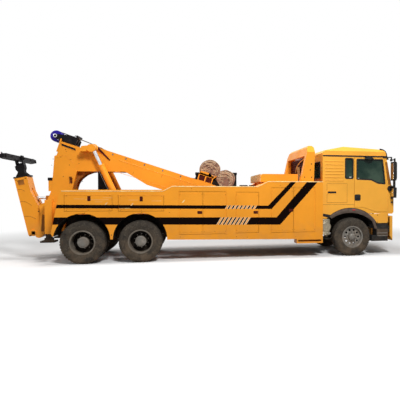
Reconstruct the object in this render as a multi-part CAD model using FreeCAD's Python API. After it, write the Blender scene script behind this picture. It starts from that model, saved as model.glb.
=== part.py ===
import FreeCAD, Part
import math
import os

# Heavy recovery truck: a 6x4 chassis with a tilting sleeper cab, hollow side bodies with
# doors and lids, a gantry, a lifting boom with its rear leg, and a folding underlift.
# Stations x run forward from the rearmost axle, y to the left, z up from the ground;
# save() moves every piece so that the origin lies under the middle of the whole length.

V = FreeCAD.Vector

# ---- whole vehicle ----
REAR_END = -1916.0          # back of the underlift head
FRONT_END = 8235.0          # front of the bumper
ORIGIN_X = (REAR_END + FRONT_END) / 2

# ---- axles and wheels ----
REAR_AXLE_GAP = 1350.0
WHEELBASE = 5600.0          # second axle to front axle
AXLE_2_X = REAR_AXLE_GAP
FRONT_AXLE_X = REAR_AXLE_GAP + WHEELBASE
TYRE_R = 525.0
TYRE_W = 300.0
TREAD_W = 264.0
BEAD_R = 286.0
RIM_LIP_R = 300.0
RIM_LIP = 8.0               # thickness of a rim's edge
RIM_WALL = 18.0
FRONT_TYRE_Y = 1050.0
TWIN_GAP = 45.0             # between the two tyres of a pair
OUTER_TYRE_Y = 1070.0
INNER_TYRE_Y = OUTER_TYRE_Y - TYRE_W - TWIN_GAP
SPINDLE_R = 60.0
RUNNING_FIT = 0.05
SEAT_GAP = 0.3
KINGPIN_Y = 880.0
KINGPIN_R = 26.0

# ---- frame ----
RAIL_OUTER_Y = 430.0
RAIL_FLANGE = 80.0
RAIL_WEB = 9.0
RAIL_DEPTH = 270.0
RAIL_BOTTOM_Z = 740.0
RAIL_REAR_X = -560.0
RAIL_FRONT_X = 8010.0
SUBFRAME_H = 170.0
RAIL_TOP_Z = RAIL_BOTTOM_Z + RAIL_DEPTH
SUBFRAME_TOP_Z = RAIL_TOP_Z + SUBFRAME_H

# ---- side bodies ----
BODY_HALF_W = 1247.0
BODY_INNER_Y = 640.0
BODY_WALL = 30.0
BODY_FRONT_X = 6080.0
BODY_LOW_TOP_Z = 1812.0
BODY_MID_TOP_Z = 1905.0
BODY_HIGH_TOP_Z = 2035.0
ARCH_R = 645.0
ARCH_CENTRE_Z = 590.0
DOOR_GAP = 8.0
DOOR_SKIN = 4.0
DOOR_PAN = 22.0
DOOR_RAISED = 3.0
PAN_SETBACK = 30.0

# Side doors of one side: name, hinge edge, rear x, front x, bottom z, top z
SIDE_DOORS = [
    ("lid_rear", "top", -388.0, 688.0, 1295.0, 1681.0),
    ("lid_front", "top", 839.0, 1911.0, 1284.0, 1672.0),
    ("door_a_rear", "rear", 2292.0, 2878.0, 686.0, 1763.0),
    ("door_a_front", "front", 2886.0, 3472.0, 686.0, 1763.0),
    ("door_b", "rear", 3730.0, 4321.0, 700.0, 1748.0),
    ("door_c_rear", "rear", 4659.0, 5256.0, 694.0, 1868.0),
    ("door_c_front", "front", 5264.0, 5860.0, 694.0, 1868.0),
]
# Locker rooms behind them: name, rear x, front x, bottom z, top z
LOCKERS = [
    ("over_rear_wheel", -420.0, 720.0, 1275.0, 1772.0),
    ("over_front_wheel", 805.0, 1950.0, 1264.0, 1772.0),
    ("a", 2250.0, 3515.0, 600.0, 1865.0),
    ("b", 3690.0, 4360.0, 600.0, 1865.0),
    ("c", 4620.0, 5900.0, 580.0, 1995.0),
]

# ---- boom ----
BOOM_PIVOT_X = 2950.0
BOOM_PIVOT_Z = 1720.0
BOOM_ANGLE = 17.9           # boom axis above level, as it travels
BOOM_HALF_W = 300.0
BOOM_LOW_T = -250.0
BOOM_HIGH_T = 163.0
BOOM_COVER_T = 305.0
BOOM_END_S = 3890.0
BOOM_UNDERSIDE_Z = 2300.0

made = {}


# ---- helpers ----
def box(x0, x1, y0, y1, z0, z1):
    """Block between two corners."""
    low = V(min(x0, x1), min(y0, y1), min(z0, z1))
    return Part.makeBox(abs(x1 - x0), abs(y1 - y0), abs(z1 - z0), low)


def wire(points):
    """Closed wire; a point given as ("arc", mid, end) bends the way there through mid."""
    edges = []
    start = points[0]
    here = start
    for item in points[1:] + [start]:
        if isinstance(item[0], str):
            mid, end = item[1], item[2]
            edges.append(Part.Arc(here, mid, end).toShape())
            here = end
        else:
            if here.distanceToPoint(item) > 1e-6:
                edges.append(Part.LineSegment(here, item).toShape())
            here = item
    return Part.Wire(edges)


def placed(outline, make):
    """Turn an outline of pairs, and arcs of pairs, into vectors."""
    points = []
    for item in outline:
        if isinstance(item[0], str):
            points.append(("arc", make(item[1]), make(item[2])))
        else:
            points.append(make(item))
    return points


def side_plate(outline, y0, y1):
    """Outline in x and z, thick from y0 to y1."""
    points = placed(outline, lambda p: V(p[0], y0, p[1]))
    return Part.Face(wire(points)).extrude(V(0, y1 - y0, 0))


def flat_plate(outline, z0, z1):
    """Outline in x and y, thick from z0 to z1."""
    points = placed(outline, lambda p: V(p[0], p[1], z0))
    return Part.Face(wire(points)).extrude(V(0, 0, z1 - z0))


def cross_plate(outline, x0, x1):
    """Outline in y and z, thick from x0 to x1."""
    points = placed(outline, lambda p: V(x0, p[0], p[1]))
    return Part.Face(wire(points)).extrude(V(x1 - x0, 0, 0))


def rod(start, end, radius):
    """Round bar from one point to another."""
    way = end - start
    return Part.makeCylinder(radius, way.Length, start, way)


def across(x, z, y0, y1, radius):
    """Round bar along y."""
    return rod(V(x, min(y0, y1), z), V(x, max(y0, y1), z), radius)


def across_x(x0, x1, z, radius):
    """Cylinder that lies along x on the middle plane."""
    return rod(V(x0, 0, z), V(x1, 0, z), radius)


def turned(profile, x, z):
    """Solid of revolution about the y axis through (x, z); profile holds (y, radius) pairs."""
    points = [V(x, y, z + r) for y, r in profile]
    return Part.Face(wire(points)).revolve(V(x, 0, z), V(0, 1, 0), 360)


def circle_through(a, b, c):
    """Centre and radius of the circle through three points."""
    circle = Part.Arc(V(a[0], 0, a[1]), V(b[0], 0, b[1]), V(c[0], 0, c[1])).toShape().Curve
    return circle.Center.x, circle.Center.z, circle.Radius


def joined(shapes):
    """One solid from pieces that meet."""
    whole = shapes[0].fuse(shapes[1:]) if len(shapes) > 1 else shapes[0]
    return whole.removeSplitter()


def apart(shapes):
    """Like pieces that don't touch, kept in one node."""
    return Part.makeCompound(shapes)


def mirrored(shape):
    """The same piece on the other side."""
    return shape.mirror(V(0, 0, 0), V(0, 1, 0))


def both_sides(shape):
    return [shape, mirrored(shape)]


def keep(name, shape):
    """Store a finished sub-part."""
    made[name] = shape


def boom_point(s, t, y=0.0):
    """Point s along the boom from its pivot towards the tip and t above its axis."""
    a = math.radians(BOOM_ANGLE)
    return V(BOOM_PIVOT_X - s * math.cos(a) + t * math.sin(a), y,
             BOOM_PIVOT_Z + s * math.sin(a) + t * math.cos(a))


def boom_block(s0, s1, y0, y1, t0, t1):
    """Block lined up with the boom."""
    corners = [boom_point(s, t, y0) for s, t in ((s0, t0), (s1, t0), (s1, t1), (s0, t1))]
    return Part.Face(wire(corners)).extrude(V(0, y1 - y0, 0))


# ---- wheels, axles and steering ----
def tyre(y):
    """Tyre with sloping sidewalls, around the wheel axis at x = 0."""
    half, tread = TYRE_W / 2, TREAD_W / 2
    bore = BEAD_R + SEAT_GAP
    return turned([(y - half, bore), (y - tread, TYRE_R), (y + tread, TYRE_R), (y + half, bore)], 0, TYRE_R)


def front_rim():
    """Single rim: barrel with two lips, a disc near its outer side and a hub on the spindle."""
    out = FRONT_TYRE_Y + TYRE_W / 2 + SEAT_GAP
    inn = FRONT_TYRE_Y - TYRE_W / 2 - SEAT_GAP
    wall = BEAD_R - RIM_WALL
    disc = out - 62
    hub_in = KINGPIN_Y + 130
    return turned([
        (inn - RIM_LIP, wall), (inn - RIM_LIP, RIM_LIP_R), (inn, RIM_LIP_R), (inn, BEAD_R),
        (out, BEAD_R), (out, RIM_LIP_R), (out + RIM_LIP, RIM_LIP_R), (out + RIM_LIP, wall),
        (disc, wall - 20), (disc, 105), (out - 10, 95), (out - 10, 0), (out - 40, 0),
        (out - 40, SPINDLE_R + RUNNING_FIT), (hub_in, SPINDLE_R + RUNNING_FIT),
        (hub_in, 110), (disc - 16, 130), (disc - 16, wall - 20), (disc - 40, wall)], 0, TYRE_R)


def twin_rim():
    """Two barrels joined by their discs between the tyres, with a deep dish and a round hub."""
    out = OUTER_TYRE_Y + TYRE_W / 2 + SEAT_GAP
    inn = INNER_TYRE_Y - TYRE_W / 2 - SEAT_GAP
    mid_out = OUTER_TYRE_Y - TYRE_W / 2 - SEAT_GAP
    mid_in = INNER_TYRE_Y + TYRE_W / 2 + SEAT_GAP
    wall = BEAD_R - RIM_WALL
    return turned([
        (inn - RIM_LIP, wall), (inn - RIM_LIP, RIM_LIP_R), (inn, RIM_LIP_R), (inn, BEAD_R),
        (mid_in, BEAD_R), (mid_in, RIM_LIP_R), (mid_out, RIM_LIP_R), (mid_out, BEAD_R),
        (out, BEAD_R), (out, RIM_LIP_R), (out + RIM_LIP, RIM_LIP_R), (out + RIM_LIP, wall),
        (mid_out, wall), (mid_out, 150), (out - 110, 135), (out - 80, 110), (out - 80, 0),
        (out - 120, 0), (out - 120, SPINDLE_R + RUNNING_FIT), (mid_in - 20, SPINDLE_R + RUNNING_FIT),
        (mid_in - 20, 150), (mid_in - 4, wall)], 0, TYRE_R)


HAND_HOLES = 10
HAND_HOLE_R = 30.0
HAND_HOLE_CIRCLE = 190.0


def hand_holes(y0, y1):
    """Ring of round holes through a wheel disc."""
    holes = []
    for k in range(HAND_HOLES):
        a = 2 * math.pi * k / HAND_HOLES
        x, z = HAND_HOLE_CIRCLE * math.cos(a), TYRE_R + HAND_HOLE_CIRCLE * math.sin(a)
        holes.append(across(x, z, y0, y1, HAND_HOLE_R))
    return holes


def make_wheels():
    front = front_rim().cut(hand_holes(FRONT_TYRE_Y + 50, FRONT_TYRE_Y + 130))
    single = tyre(FRONT_TYRE_Y)
    pair = apart([tyre(OUTER_TYRE_Y), tyre(INNER_TYRE_Y)])
    twin = twin_rim()
    for side, sign in (("left", 1), ("right", -1)):
        for place, x, tyres, rim in (("front", FRONT_AXLE_X, single, front),
                                     ("drive", AXLE_2_X, pair, twin), ("rear", 0.0, pair, twin)):
            for kind, shape in (("tyre", tyres), ("rim", rim)):
                piece = shape if sign > 0 else mirrored(shape)
                keep(f"{kind}_{place}_{side}", piece.translated(V(x, 0, 0)))


BEAM_BOSS_R = 55.0
BEAM_BOSS_H = 65.0
KNUCKLE_GAP = 5.0


def knuckle():
    """Forked knuckle with its kingpin and the spindle of the wheel."""
    x, z = FRONT_AXLE_X, TYRE_R
    lug = BEAM_BOSS_H + KNUCKLE_GAP
    web_y = KINGPIN_Y + BEAM_BOSS_R + 8
    lugs = [box(x - 50, x + 50, KINGPIN_Y - 45, web_y + 45, z + lug, z + lug + 45),
            box(x - 50, x + 50, KINGPIN_Y - 45, web_y + 45, z - lug - 45, z - lug)]
    web = box(x - 50, x + 50, web_y, web_y + 45, z - lug - 45, z + lug + 45)
    pin = rod(V(x, KINGPIN_Y, z - lug - 60), V(x, KINGPIN_Y, z + lug + 60), KINGPIN_R)
    spindle = across(x, z, web_y + 20, FRONT_TYRE_Y + 100, SPINDLE_R)
    arm = box(x - 260, x, KINGPIN_Y - 30, KINGPIN_Y + 5, z - lug - 40, z - lug - 10)
    return joined([web, *lugs, pin, spindle, arm])


SPRING_Y = 510.0
SPRING_W = 80.0


def leaf_spring(x, z, length, leaves, drop):
    """Stack of leaves, each shorter than the one above, with its eyes at frame height."""
    leaf = 16.0
    outline = [(x - length / 2, z + drop)]
    outline += [("arc", (x, z), (x + length / 2, z + drop)), (x + length / 2, z + drop - leaf)]
    shapes = [side_plate(outline + [("arc", (x, z - leaf), (x - length / 2, z + drop - leaf))],
                         SPRING_Y - SPRING_W / 2, SPRING_Y + SPRING_W / 2)]
    for k in range(1, leaves):
        half = length / 2 * (1 - k / (leaves + 1)) * 0.8
        low = z - leaf * (k + 1)
        shapes.append(box(x - half, x + half, SPRING_Y - SPRING_W / 2, SPRING_Y + SPRING_W / 2,
                          low, z - leaf * k + 1))
    return shapes


def front_spring_seats(x, z, length, drop):
    """Hangers between the spring's ends and the rail."""
    shapes = []
    for end in (-1, 1):
        xe = x + end * (length / 2 - 15)
        shapes.append(box(xe - 30, xe + 30, RAIL_OUTER_Y, SPRING_Y + SPRING_W / 2,
                          z + drop - 20, z + drop + 130))
    return shapes


GEARBOX_REAR_X = 5300.0
SHAFT_FRONT_Z = 690.0
FRONT_SPRING_L = 1560.0
FRONT_SPRING_Z = 665.0
FRONT_SPRING_DROP = 100.0
REAR_SPRING_Z = 610.0


def make_axles():
    """Front beam on its springs, and the two drive axles with springs and shafts."""
    x, z = FRONT_AXLE_X, TYRE_R
    beam_y = KINGPIN_Y - 20
    beam = cross_plate([(-beam_y, z - 40), (-700, z - 55), (-560, z - 20), (560, z - 20), (700, z - 55),
                        (beam_y, z - 40), (beam_y, z + 40), (700, z + 50), (560, z + 85), (-560, z + 85),
                        (-700, z + 50), (-beam_y, z + 40)], x - 45, x + 45)
    parts = [beam]
    for sign in (1, -1):
        y = sign * KINGPIN_Y
        parts.append(rod(V(x, y, z - BEAM_BOSS_H), V(x, y, z + BEAM_BOSS_H), BEAM_BOSS_R))
    beam = joined(parts)
    for sign in (1, -1):
        y = sign * KINGPIN_Y
        beam = beam.cut(rod(V(x, y, z - 90), V(x, y, z + 90), KINGPIN_R + RUNNING_FIT))
    one_spring = joined(leaf_spring(x, FRONT_SPRING_Z, FRONT_SPRING_L, 3, FRONT_SPRING_DROP)
                        + front_spring_seats(x, FRONT_SPRING_Z, FRONT_SPRING_L, FRONT_SPRING_DROP)
                        + [box(x - 60, x + 60, SPRING_Y - 50, SPRING_Y + 50, z + 75, FRONT_SPRING_Z - 40)])
    front = joined([beam, *both_sides(one_spring)])

    shapes = []
    for x in (0.0, AXLE_2_X):
        end = INNER_TYRE_Y + TYRE_W / 2
        shapes.append(across(x, z, -end - 120, end + 120, SPINDLE_R))
        shapes.append(across(x, z, -500, 500, 85))
        shapes.append(rod(V(x - 210, 0, z), V(x + 190, 0, z), 170))
        shapes.append(box(x - 100, x + 100, SPRING_Y - 50, SPRING_Y + 50, z - 90, REAR_SPRING_Z - 10))
        shapes.append(box(x - 100, x + 100, -SPRING_Y - 50, -SPRING_Y + 50, z - 90, REAR_SPRING_Z - 10))
    shapes.append(rod(V(100, 0, z + 20), V(AXLE_2_X - 100, 0, z + 20), 50))
    shapes.append(rod(V(AXLE_2_X + 150, 0, z + 20), V(GEARBOX_REAR_X - 3, 0, SHAFT_FRONT_Z), 55))
    mid = AXLE_2_X / 2
    top = REAR_SPRING_Z + 110
    bogie = side_plate([(mid - 820, REAR_SPRING_Z - 15), (mid + 820, REAR_SPRING_Z - 15),
                        (mid + 820, REAR_SPRING_Z + 10),
                        (mid + 120, top), (mid - 120, top), (mid - 820, REAR_SPRING_Z + 10)],
                       SPRING_Y - 50, SPRING_Y + 50)
    seat = box(mid - 130, mid + 130, RAIL_OUTER_Y, SPRING_Y + 50, top - 10, top + 130)
    shapes += both_sides(joined([bogie, seat]))
    keep("axles", apart([front, joined(shapes)]))

    keep("knuckle_left", knuckle())
    keep("knuckle_right", mirrored(knuckle()))


# ---- frame and what hangs on it ----
CROSS_MEMBERS_X = (-400.0, 675.0, 2200.0, 3600.0, 5000.0, 7900.0)
BOOM_REST_X = 165.0
BOOM_REST_L = 210.0
LIFT_BASE_X = 810.0
LIFT_BASE_Z = 1300.0
LIFT_Y = 470.0
LIFT_PIN_R = 35.0
BOOM_PIN_R = 60.0
EAR_T = 40.0
EAR_GAP = 6.0


def make_frame():
    """Channel rails, cross-members, subframe, boom towers and cylinder feet."""
    shapes = []
    y_in = RAIL_OUTER_Y - RAIL_FLANGE
    z0, z1 = RAIL_BOTTOM_Z, RAIL_TOP_Z
    web_y = RAIL_OUTER_Y - RAIL_WEB
    channel = cross_plate([(y_in, z0), (RAIL_OUTER_Y, z0), (RAIL_OUTER_Y, z1), (y_in, z1),
                           (y_in, z1 - RAIL_WEB),
                           (web_y, z1 - RAIL_WEB), (web_y, z0 + RAIL_WEB),
                           (y_in, z0 + RAIL_WEB)], RAIL_REAR_X, RAIL_FRONT_X)
    upper = box(RAIL_REAR_X, BODY_FRONT_X - 200, y_in, RAIL_OUTER_Y, z1, SUBFRAME_TOP_Z)
    shapes += both_sides(joined([channel, upper]))
    web = RAIL_OUTER_Y - RAIL_WEB / 2
    for x in CROSS_MEMBERS_X:
        shapes.append(box(x - 60, x + 60, -web, web, z0 + RAIL_WEB, z1 - RAIL_WEB))
    inner = BOOM_HALF_W + EAR_GAP
    tower = side_plate([(2560, SUBFRAME_TOP_Z - 5), (3340, SUBFRAME_TOP_Z - 5), (3120, 1700),
                        ("arc", (BOOM_PIVOT_X, BOOM_PIVOT_Z + 150), (2780, 1700))], inner, inner + EAR_T)
    tower = tower.cut(across(BOOM_PIVOT_X, BOOM_PIVOT_Z, inner - 5, inner + EAR_T + 5,
                             BOOM_PIN_R + RUNNING_FIT))
    brace = box(2560, 3340, inner, RAIL_OUTER_Y, SUBFRAME_TOP_Z - 5, SUBFRAME_TOP_Z + 12)
    shapes += both_sides(joined([tower, brace]))
    foot = []
    for y in (LIFT_Y - 45 - EAR_T / 2, LIFT_Y + 45 + EAR_T / 2):
        foot.append(side_plate([(LIFT_BASE_X - 140, SUBFRAME_TOP_Z), (LIFT_BASE_X + 140, SUBFRAME_TOP_Z),
                                (LIFT_BASE_X + 60, LIFT_BASE_Z),
                                ("arc", (LIFT_BASE_X, LIFT_BASE_Z + 60), (LIFT_BASE_X - 60, LIFT_BASE_Z))],
                               y - EAR_T / 2, y + EAR_T / 2))
    foot.append(box(LIFT_BASE_X - 140, LIFT_BASE_X + 140, y_in, LIFT_Y + 45 + EAR_T, SUBFRAME_TOP_Z - 30,
                    SUBFRAME_TOP_Z + 1))
    foot.append(across(LIFT_BASE_X, LIFT_BASE_Z, LIFT_Y - 45 - EAR_T, LIFT_Y + 45 + EAR_T, LIFT_PIN_R))
    shapes += both_sides(joined(foot))
    half = BOOM_REST_L / 2
    xc = BOOM_REST_X + half
    top_z = BOOM_UNDERSIDE_Z - SEAT_GAP
    post = side_plate([(xc - half, SUBFRAME_TOP_Z), (xc + half + 90, SUBFRAME_TOP_Z), (xc + half, top_z - 60),
                       (xc + half, top_z - 0.3), (xc - half, top_z)], -200, 200)
    beam = box(xc - half, xc + half + 90, -RAIL_OUTER_Y, RAIL_OUTER_Y, SUBFRAME_TOP_Z, SUBFRAME_TOP_Z + 40)
    keep("chassis_frame", joined([*shapes, post, beam]))


def make_engine_and_tanks():
    """Engine as one plain block; fuel tank, air tanks and silencer along the rails."""
    mount_y = RAIL_OUTER_Y - RAIL_WEB - SEAT_GAP
    keep("engine_block", joined([
        box(6350, 7750, -300, 300, 800, 1220), box(6550, 7600, -200, 200, 640, 810),
        across_x(GEARBOX_REAR_X, 6360, 850, 210),
        *both_sides(box(6600, 6680, 295, mount_y, 800, 860)),
        *both_sides(box(7450, 7530, 295, mount_y, 800, 860))]))
    fuel = box(4400, 5600, RAIL_OUTER_Y, BODY_INNER_Y - 20, 620, 1000)
    shapes = [fuel]
    for x in (2300, 2900, 3500):
        shapes.append(rod(V(x - 220, -540, 860), V(x + 220, -540, 860), 95))
        shapes.append(box(x - 20, x + 20, -540, -RAIL_OUTER_Y, 850, 950))
    silencer = rod(V(6225, -1110, 800), V(6225, -560, 800), 130)
    shapes.append(silencer)
    shapes.append(box(6222, 6262, -580, -RAIL_OUTER_Y, 780, 900))
    keep("chassis_tanks", apart([fuel] + [joined(shapes[k:k + 2]) for k in (1, 3, 5, 7)]))


# ---- side bodies, their doors and the deck ----
BODY_OUTLINE = [
    (-480.0, BODY_LOW_TOP_Z), (-570.0, 1400.0), (-695.0, 760.0), (-660.0, 690.0), (-ARCH_R + 5, 690.0),
    ("arc", (0.0, ARCH_CENTRE_Z + ARCH_R), (ARCH_R, ARCH_CENTRE_Z)), (ARCH_R, 615.0 - 20),
    (AXLE_2_X - ARCH_R, 595.0), (AXLE_2_X - ARCH_R, ARCH_CENTRE_Z),
    ("arc", (AXLE_2_X, ARCH_CENTRE_Z + ARCH_R), (AXLE_2_X + ARCH_R, ARCH_CENTRE_Z)),
    (AXLE_2_X + ARCH_R, 560.0), (BODY_FRONT_X, 490.0), (BODY_FRONT_X, BODY_HIGH_TOP_Z),
    (4570.0, BODY_HIGH_TOP_Z), (4300.0, BODY_MID_TOP_Z), (2120.0, BODY_MID_TOP_Z), (1900.0, BODY_LOW_TOP_Z),
]
STEP_BOX = (5354.0, 6080.0, 385.0, 488.0)    # rear x, front x, bottom z, top z


def side_body():
    """Hollow left side body with a room and an opening for every door."""
    body = side_plate(BODY_OUTLINE, BODY_INNER_Y, BODY_HALF_W)
    rooms = []
    for _, x0, x1, z0, z1 in LOCKERS:
        rooms.append(box(x0, x1, BODY_INNER_Y + BODY_WALL, BODY_HALF_W - BODY_WALL, z0, z1))
    for _, _, x0, x1, z0, z1 in SIDE_DOORS:
        rooms.append(box(x0 - DOOR_GAP, x1 + DOOR_GAP, BODY_HALF_W - BODY_WALL - 5, BODY_HALF_W + 5,
                         z0 - DOOR_GAP, z1 + DOOR_GAP))
    body = body.cut(rooms)
    x0, x1, z0, z1 = STEP_BOX
    step = box(x0, x1, BODY_HALF_W - 280, BODY_HALF_W, z0, z1 + 80)
    tread = box(x0 + 40, x1 - 40, BODY_HALF_W - 200, BODY_HALF_W + 5, z0 + 45, z1 - 8)
    pins = []
    for _, hinge, xa, xb, za, zb in SIDE_DOORS:
        pins += hinge_pins(*hinge_line(hinge, xa, xb, za, zb))
    return joined([body, step.cut(tread), *pins])


HINGE_R = 7.0
HINGE_PIN_R = 4.0
PIN_REACH = 14.0


def hinge_line(hinge, x0, x1, z0, z1):
    """Ends of a door's hinge, in the outer face along its hinged edge."""
    if hinge == "top":
        return V(x0, BODY_HALF_W, z1), V(x1, BODY_HALF_W, z1)
    x = x0 if hinge == "rear" else x1
    return V(x, BODY_HALF_W, z0), V(x, BODY_HALF_W, z1)


def hinge_pins(start, end):
    """Pins that stand out of the frame into both ends of a hinge."""
    way = (end - start).normalize()
    root, reach = way * (DOOR_GAP + 20), way * (PIN_REACH - 1)
    return [rod(start - root, start + reach, HINGE_PIN_R), rod(end - reach, end + root, HINGE_PIN_R)]


def side_door(x0, x1, z0, z1, hinge):
    """Sheet skin with a pan behind it, set back from the hinge edge, and a raised field."""
    back = {edge: PAN_SETBACK if edge == hinge else 4.0 for edge in ("rear", "front", "top")}
    skin = box(x0, x1, BODY_HALF_W - DOOR_SKIN, BODY_HALF_W, z0, z1)
    pan = box(x0 + back["rear"], x1 - back["front"], BODY_HALF_W - DOOR_SKIN - DOOR_PAN,
              BODY_HALF_W - DOOR_SKIN, z0 + 4, z1 - back["top"])
    border = 45.0
    field = box(x0 + border, x1 - border, BODY_HALF_W, BODY_HALF_W + DOOR_RAISED, z0 + border, z1 - border)
    start, end = hinge_line(hinge, x0, x1, z0, z1)
    inward = (end - start).normalize() * PIN_REACH
    bore = HINGE_PIN_R + RUNNING_FIT
    sockets = [rod(start, start + inward, bore), rod(end - inward, end, bore)]
    return joined([skin, pan, field, rod(start, end, HINGE_R)]).cut(sockets)


def make_side_bodies():
    body = side_body()
    keep("body_left", body)
    keep("body_right", mirrored(body))
    for name, hinge, x0, x1, z0, z1 in SIDE_DOORS:
        door = side_door(x0, x1, z0, z1, hinge)
        keep(f"{name}_left", door)
        keep(f"{name}_right", mirrored(door))


FLOOR_Z = SUBFRAME_TOP_Z
DECK_T = 6.0
DECK_LOCKER = (4435.0, 5470.0, 900.0, 2250.0)    # rear x, front x, half width, top z
BULKHEAD_X = 4575.0


def make_deck():
    """Floor of the well behind the winches, its bulkhead, the front deck and the locker on it."""
    y = BODY_INNER_Y
    rail_in = RAIL_OUTER_Y - RAIL_FLANGE
    floor = box(RAIL_REAR_X, BULKHEAD_X, rail_in, y, FLOOR_Z, FLOOR_Z + DECK_T)
    holes = [box(LIFT_BASE_X - 145, LIFT_BASE_X + 145, rail_in - 5, y - 40, FLOOR_Z - 5, FLOOR_Z + DECK_T + 5),
             box(2555, 3345, rail_in - 5, RAIL_OUTER_Y + 5, FLOOR_Z - 5, FLOOR_Z + DECK_T + 5),
             box(BOOM_REST_X - 5, BOOM_REST_X + BOOM_REST_L + 95, rail_in - 5, RAIL_OUTER_Y + 5,
                 FLOOR_Z - 5, FLOOR_Z + DECK_T + 5)]
    floor = floor.cut(holes)
    middle = box(3500, BULKHEAD_X, -rail_in, rail_in, FLOOR_Z, FLOOR_Z + DECK_T)
    bulkhead = box(BULKHEAD_X - DECK_T, BULKHEAD_X, -y, y, FLOOR_Z, BODY_HIGH_TOP_Z - DECK_T)
    front = box(BULKHEAD_X - DECK_T, BODY_FRONT_X, -y, y, BODY_HIGH_TOP_Z - DECK_T, BODY_HIGH_TOP_Z)
    beams = []
    for x in (5200.0, BODY_FRONT_X - 240):
        beams.append(box(x, x + 40, -y, y, FLOOR_Z, FLOOR_Z + 60))
        for sign in (1, -1):
            beams.append(box(x, x + 40, sign * (y - 40), sign * y, FLOOR_Z, BODY_HIGH_TOP_Z - DECK_T))
    x0, x1, half, top = DECK_LOCKER
    low = BODY_HIGH_TOP_Z
    locker = side_plate([(x0, low), (x1, low), (x1, top), (x0 + 60, top), (x0, top - 50)], -half, half)
    room = side_plate([(x0 + 30, low + 30), (x1 - 30, low + 30), (x1 - 30, top - 30), (x0 + 75, top - 30),
                       (x0 + 30, top - 65)], -half + 30, half - 30)
    mouth = box(x0 - 5, x0 + 35, -half + 60, half - 60, low + 30, top - 70)
    keep("deck", joined([floor, mirrored(floor), middle, bulkhead, front, *beams,
                         locker.cut([room, mouth])]))


GANTRY_Y = 1130.0
GANTRY_POST_W = 170.0
GANTRY_BEAM_Z = 2750.0
GANTRY_TOP_Z = 3030.0


def make_gantry():
    """Portal behind the cab: leaning posts and a deep beam with cut-off upper corners."""
    side = [(5492.0, BODY_HIGH_TOP_Z), (5858.0, BODY_HIGH_TOP_Z), (5900.0, GANTRY_TOP_Z - 45),
            (5850.0, GANTRY_TOP_Z), (5760.0, GANTRY_TOP_Z), (5700.0, GANTRY_TOP_Z - 60)]
    whole = side_plate(side, -GANTRY_Y, GANTRY_Y)
    inside = box(5400, 6000, -GANTRY_Y + GANTRY_POST_W, GANTRY_Y - GANTRY_POST_W, BODY_HIGH_TOP_Z - 5,
                 GANTRY_BEAM_Z)
    corner = 190.0
    corners = []
    for sign in (1, -1):
        corners.append(cross_plate([(sign * (GANTRY_Y - corner), GANTRY_TOP_Z + 5),
                                    (sign * (GANTRY_Y + 5), GANTRY_TOP_Z + 5),
                                    (sign * (GANTRY_Y + 5), GANTRY_TOP_Z - corner)], 5400, 6000))
    keep("gantry", whole.cut([inside, *corners]))


JACK_X = -930.0
JACK_Y = 550.0
JACK_LEG = 130.0
JACK_SLEEVE = 165.0
JACK_TOP_Z = 1560.0
JACK_FOOT_Z = 490.0


def make_tail():
    """Rear cross structure with the sleeves of the two jacks."""
    half = JACK_SLEEVE / 2
    bore = JACK_LEG / 2 + SEAT_GAP
    pieces = []
    sleeve = box(JACK_X - half, JACK_X + half, JACK_Y - half, JACK_Y + half, 700, JACK_TOP_Z)
    sleeve = sleeve.cut(box(JACK_X - bore, JACK_X + bore, JACK_Y - bore, JACK_Y + bore, 695, JACK_TOP_Z - 20))
    arm_rear = JACK_X + half
    tie = side_plate([(arm_rear - 1, 760), (RAIL_REAR_X, 760), (RAIL_REAR_X, 1180), (-640, 1500),
                      (arm_rear - 1, 1500)], JACK_Y - 60, JACK_Y - 20)
    cheek_y = RAIL_OUTER_Y
    cheek = side_plate([(-760, 760), (RAIL_REAR_X, RAIL_BOTTOM_Z + 10), (RAIL_REAR_X, SUBFRAME_TOP_Z),
                        (-760, 1100)], cheek_y - 30, cheek_y)
    bridge = box(-700, RAIL_REAR_X, cheek_y - 30, JACK_Y, 760, 900)
    upper = box(-700, RAIL_REAR_X, cheek_y - 30, JACK_Y, 1080, SUBFRAME_TOP_Z)
    side = joined([sleeve, tie, cheek, bridge, upper])
    for piece in both_sides(side):
        pieces.append(piece)
    keep("tail_frame", apart(pieces))
    leg = box(JACK_X - JACK_LEG / 2, JACK_X + JACK_LEG / 2, JACK_Y - JACK_LEG / 2, JACK_Y + JACK_LEG / 2,
              JACK_FOOT_Z + 40, JACK_TOP_Z - 80)
    foot = box(JACK_X - 165, JACK_X + 165, JACK_Y - 150, JACK_Y + 170, JACK_FOOT_Z, JACK_FOOT_Z + 45)
    collar = box(JACK_X - 90, JACK_X + 90, JACK_Y - 90, JACK_Y + 90, JACK_FOOT_Z + 40, JACK_FOOT_Z + 110)
    jack = joined([leg, foot, collar])
    keep("rear_jacks", apart(both_sides(jack)))


# ---- cab ----
CAB_HALF_W = 1120.0
CAB_WALL = 50.0
CAB_REAR_X = 6115.0
CAB_FRONT_X = 8215.0
CAB_ROOF_SEAM_Z = 2754.0
ROOF_TOP_Z = CAB_ROOF_SEAM_Z + 270
CAB_FLOOR_Z = 1350.0
CAB_PANEL_LOW_Z = 1150.0
TILT_X = 8060.0
TILT_Z = 880.0
TILT_PIN_R = 25.0
TILT_ARM_Y = 505.0
TILT_ARM_T = 50.0
FENDER_ARC = [(6309.0, 1091.0), (7046.0, 1302.0), (7640.0, 982.0)]
GUARD_GAP = 12.0
CAB_DOOR_REAR_X = 7040.0
CAB_DOOR_FRONT_X = 8040.0
CAB_DOOR_TOP_Z = CAB_ROOF_SEAM_Z - 44
WINDOW_TOP_Z = CAB_ROOF_SEAM_Z - 82
SCREEN_TOP_Z = CAB_ROOF_SEAM_Z - 64
QUARTER_TOP_Z = CAB_ROOF_SEAM_Z - 64
REAR_PANE_TOP_Z = CAB_ROOF_SEAM_Z - 154
REAR_PANE_LOW_Z = 2150.0
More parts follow.
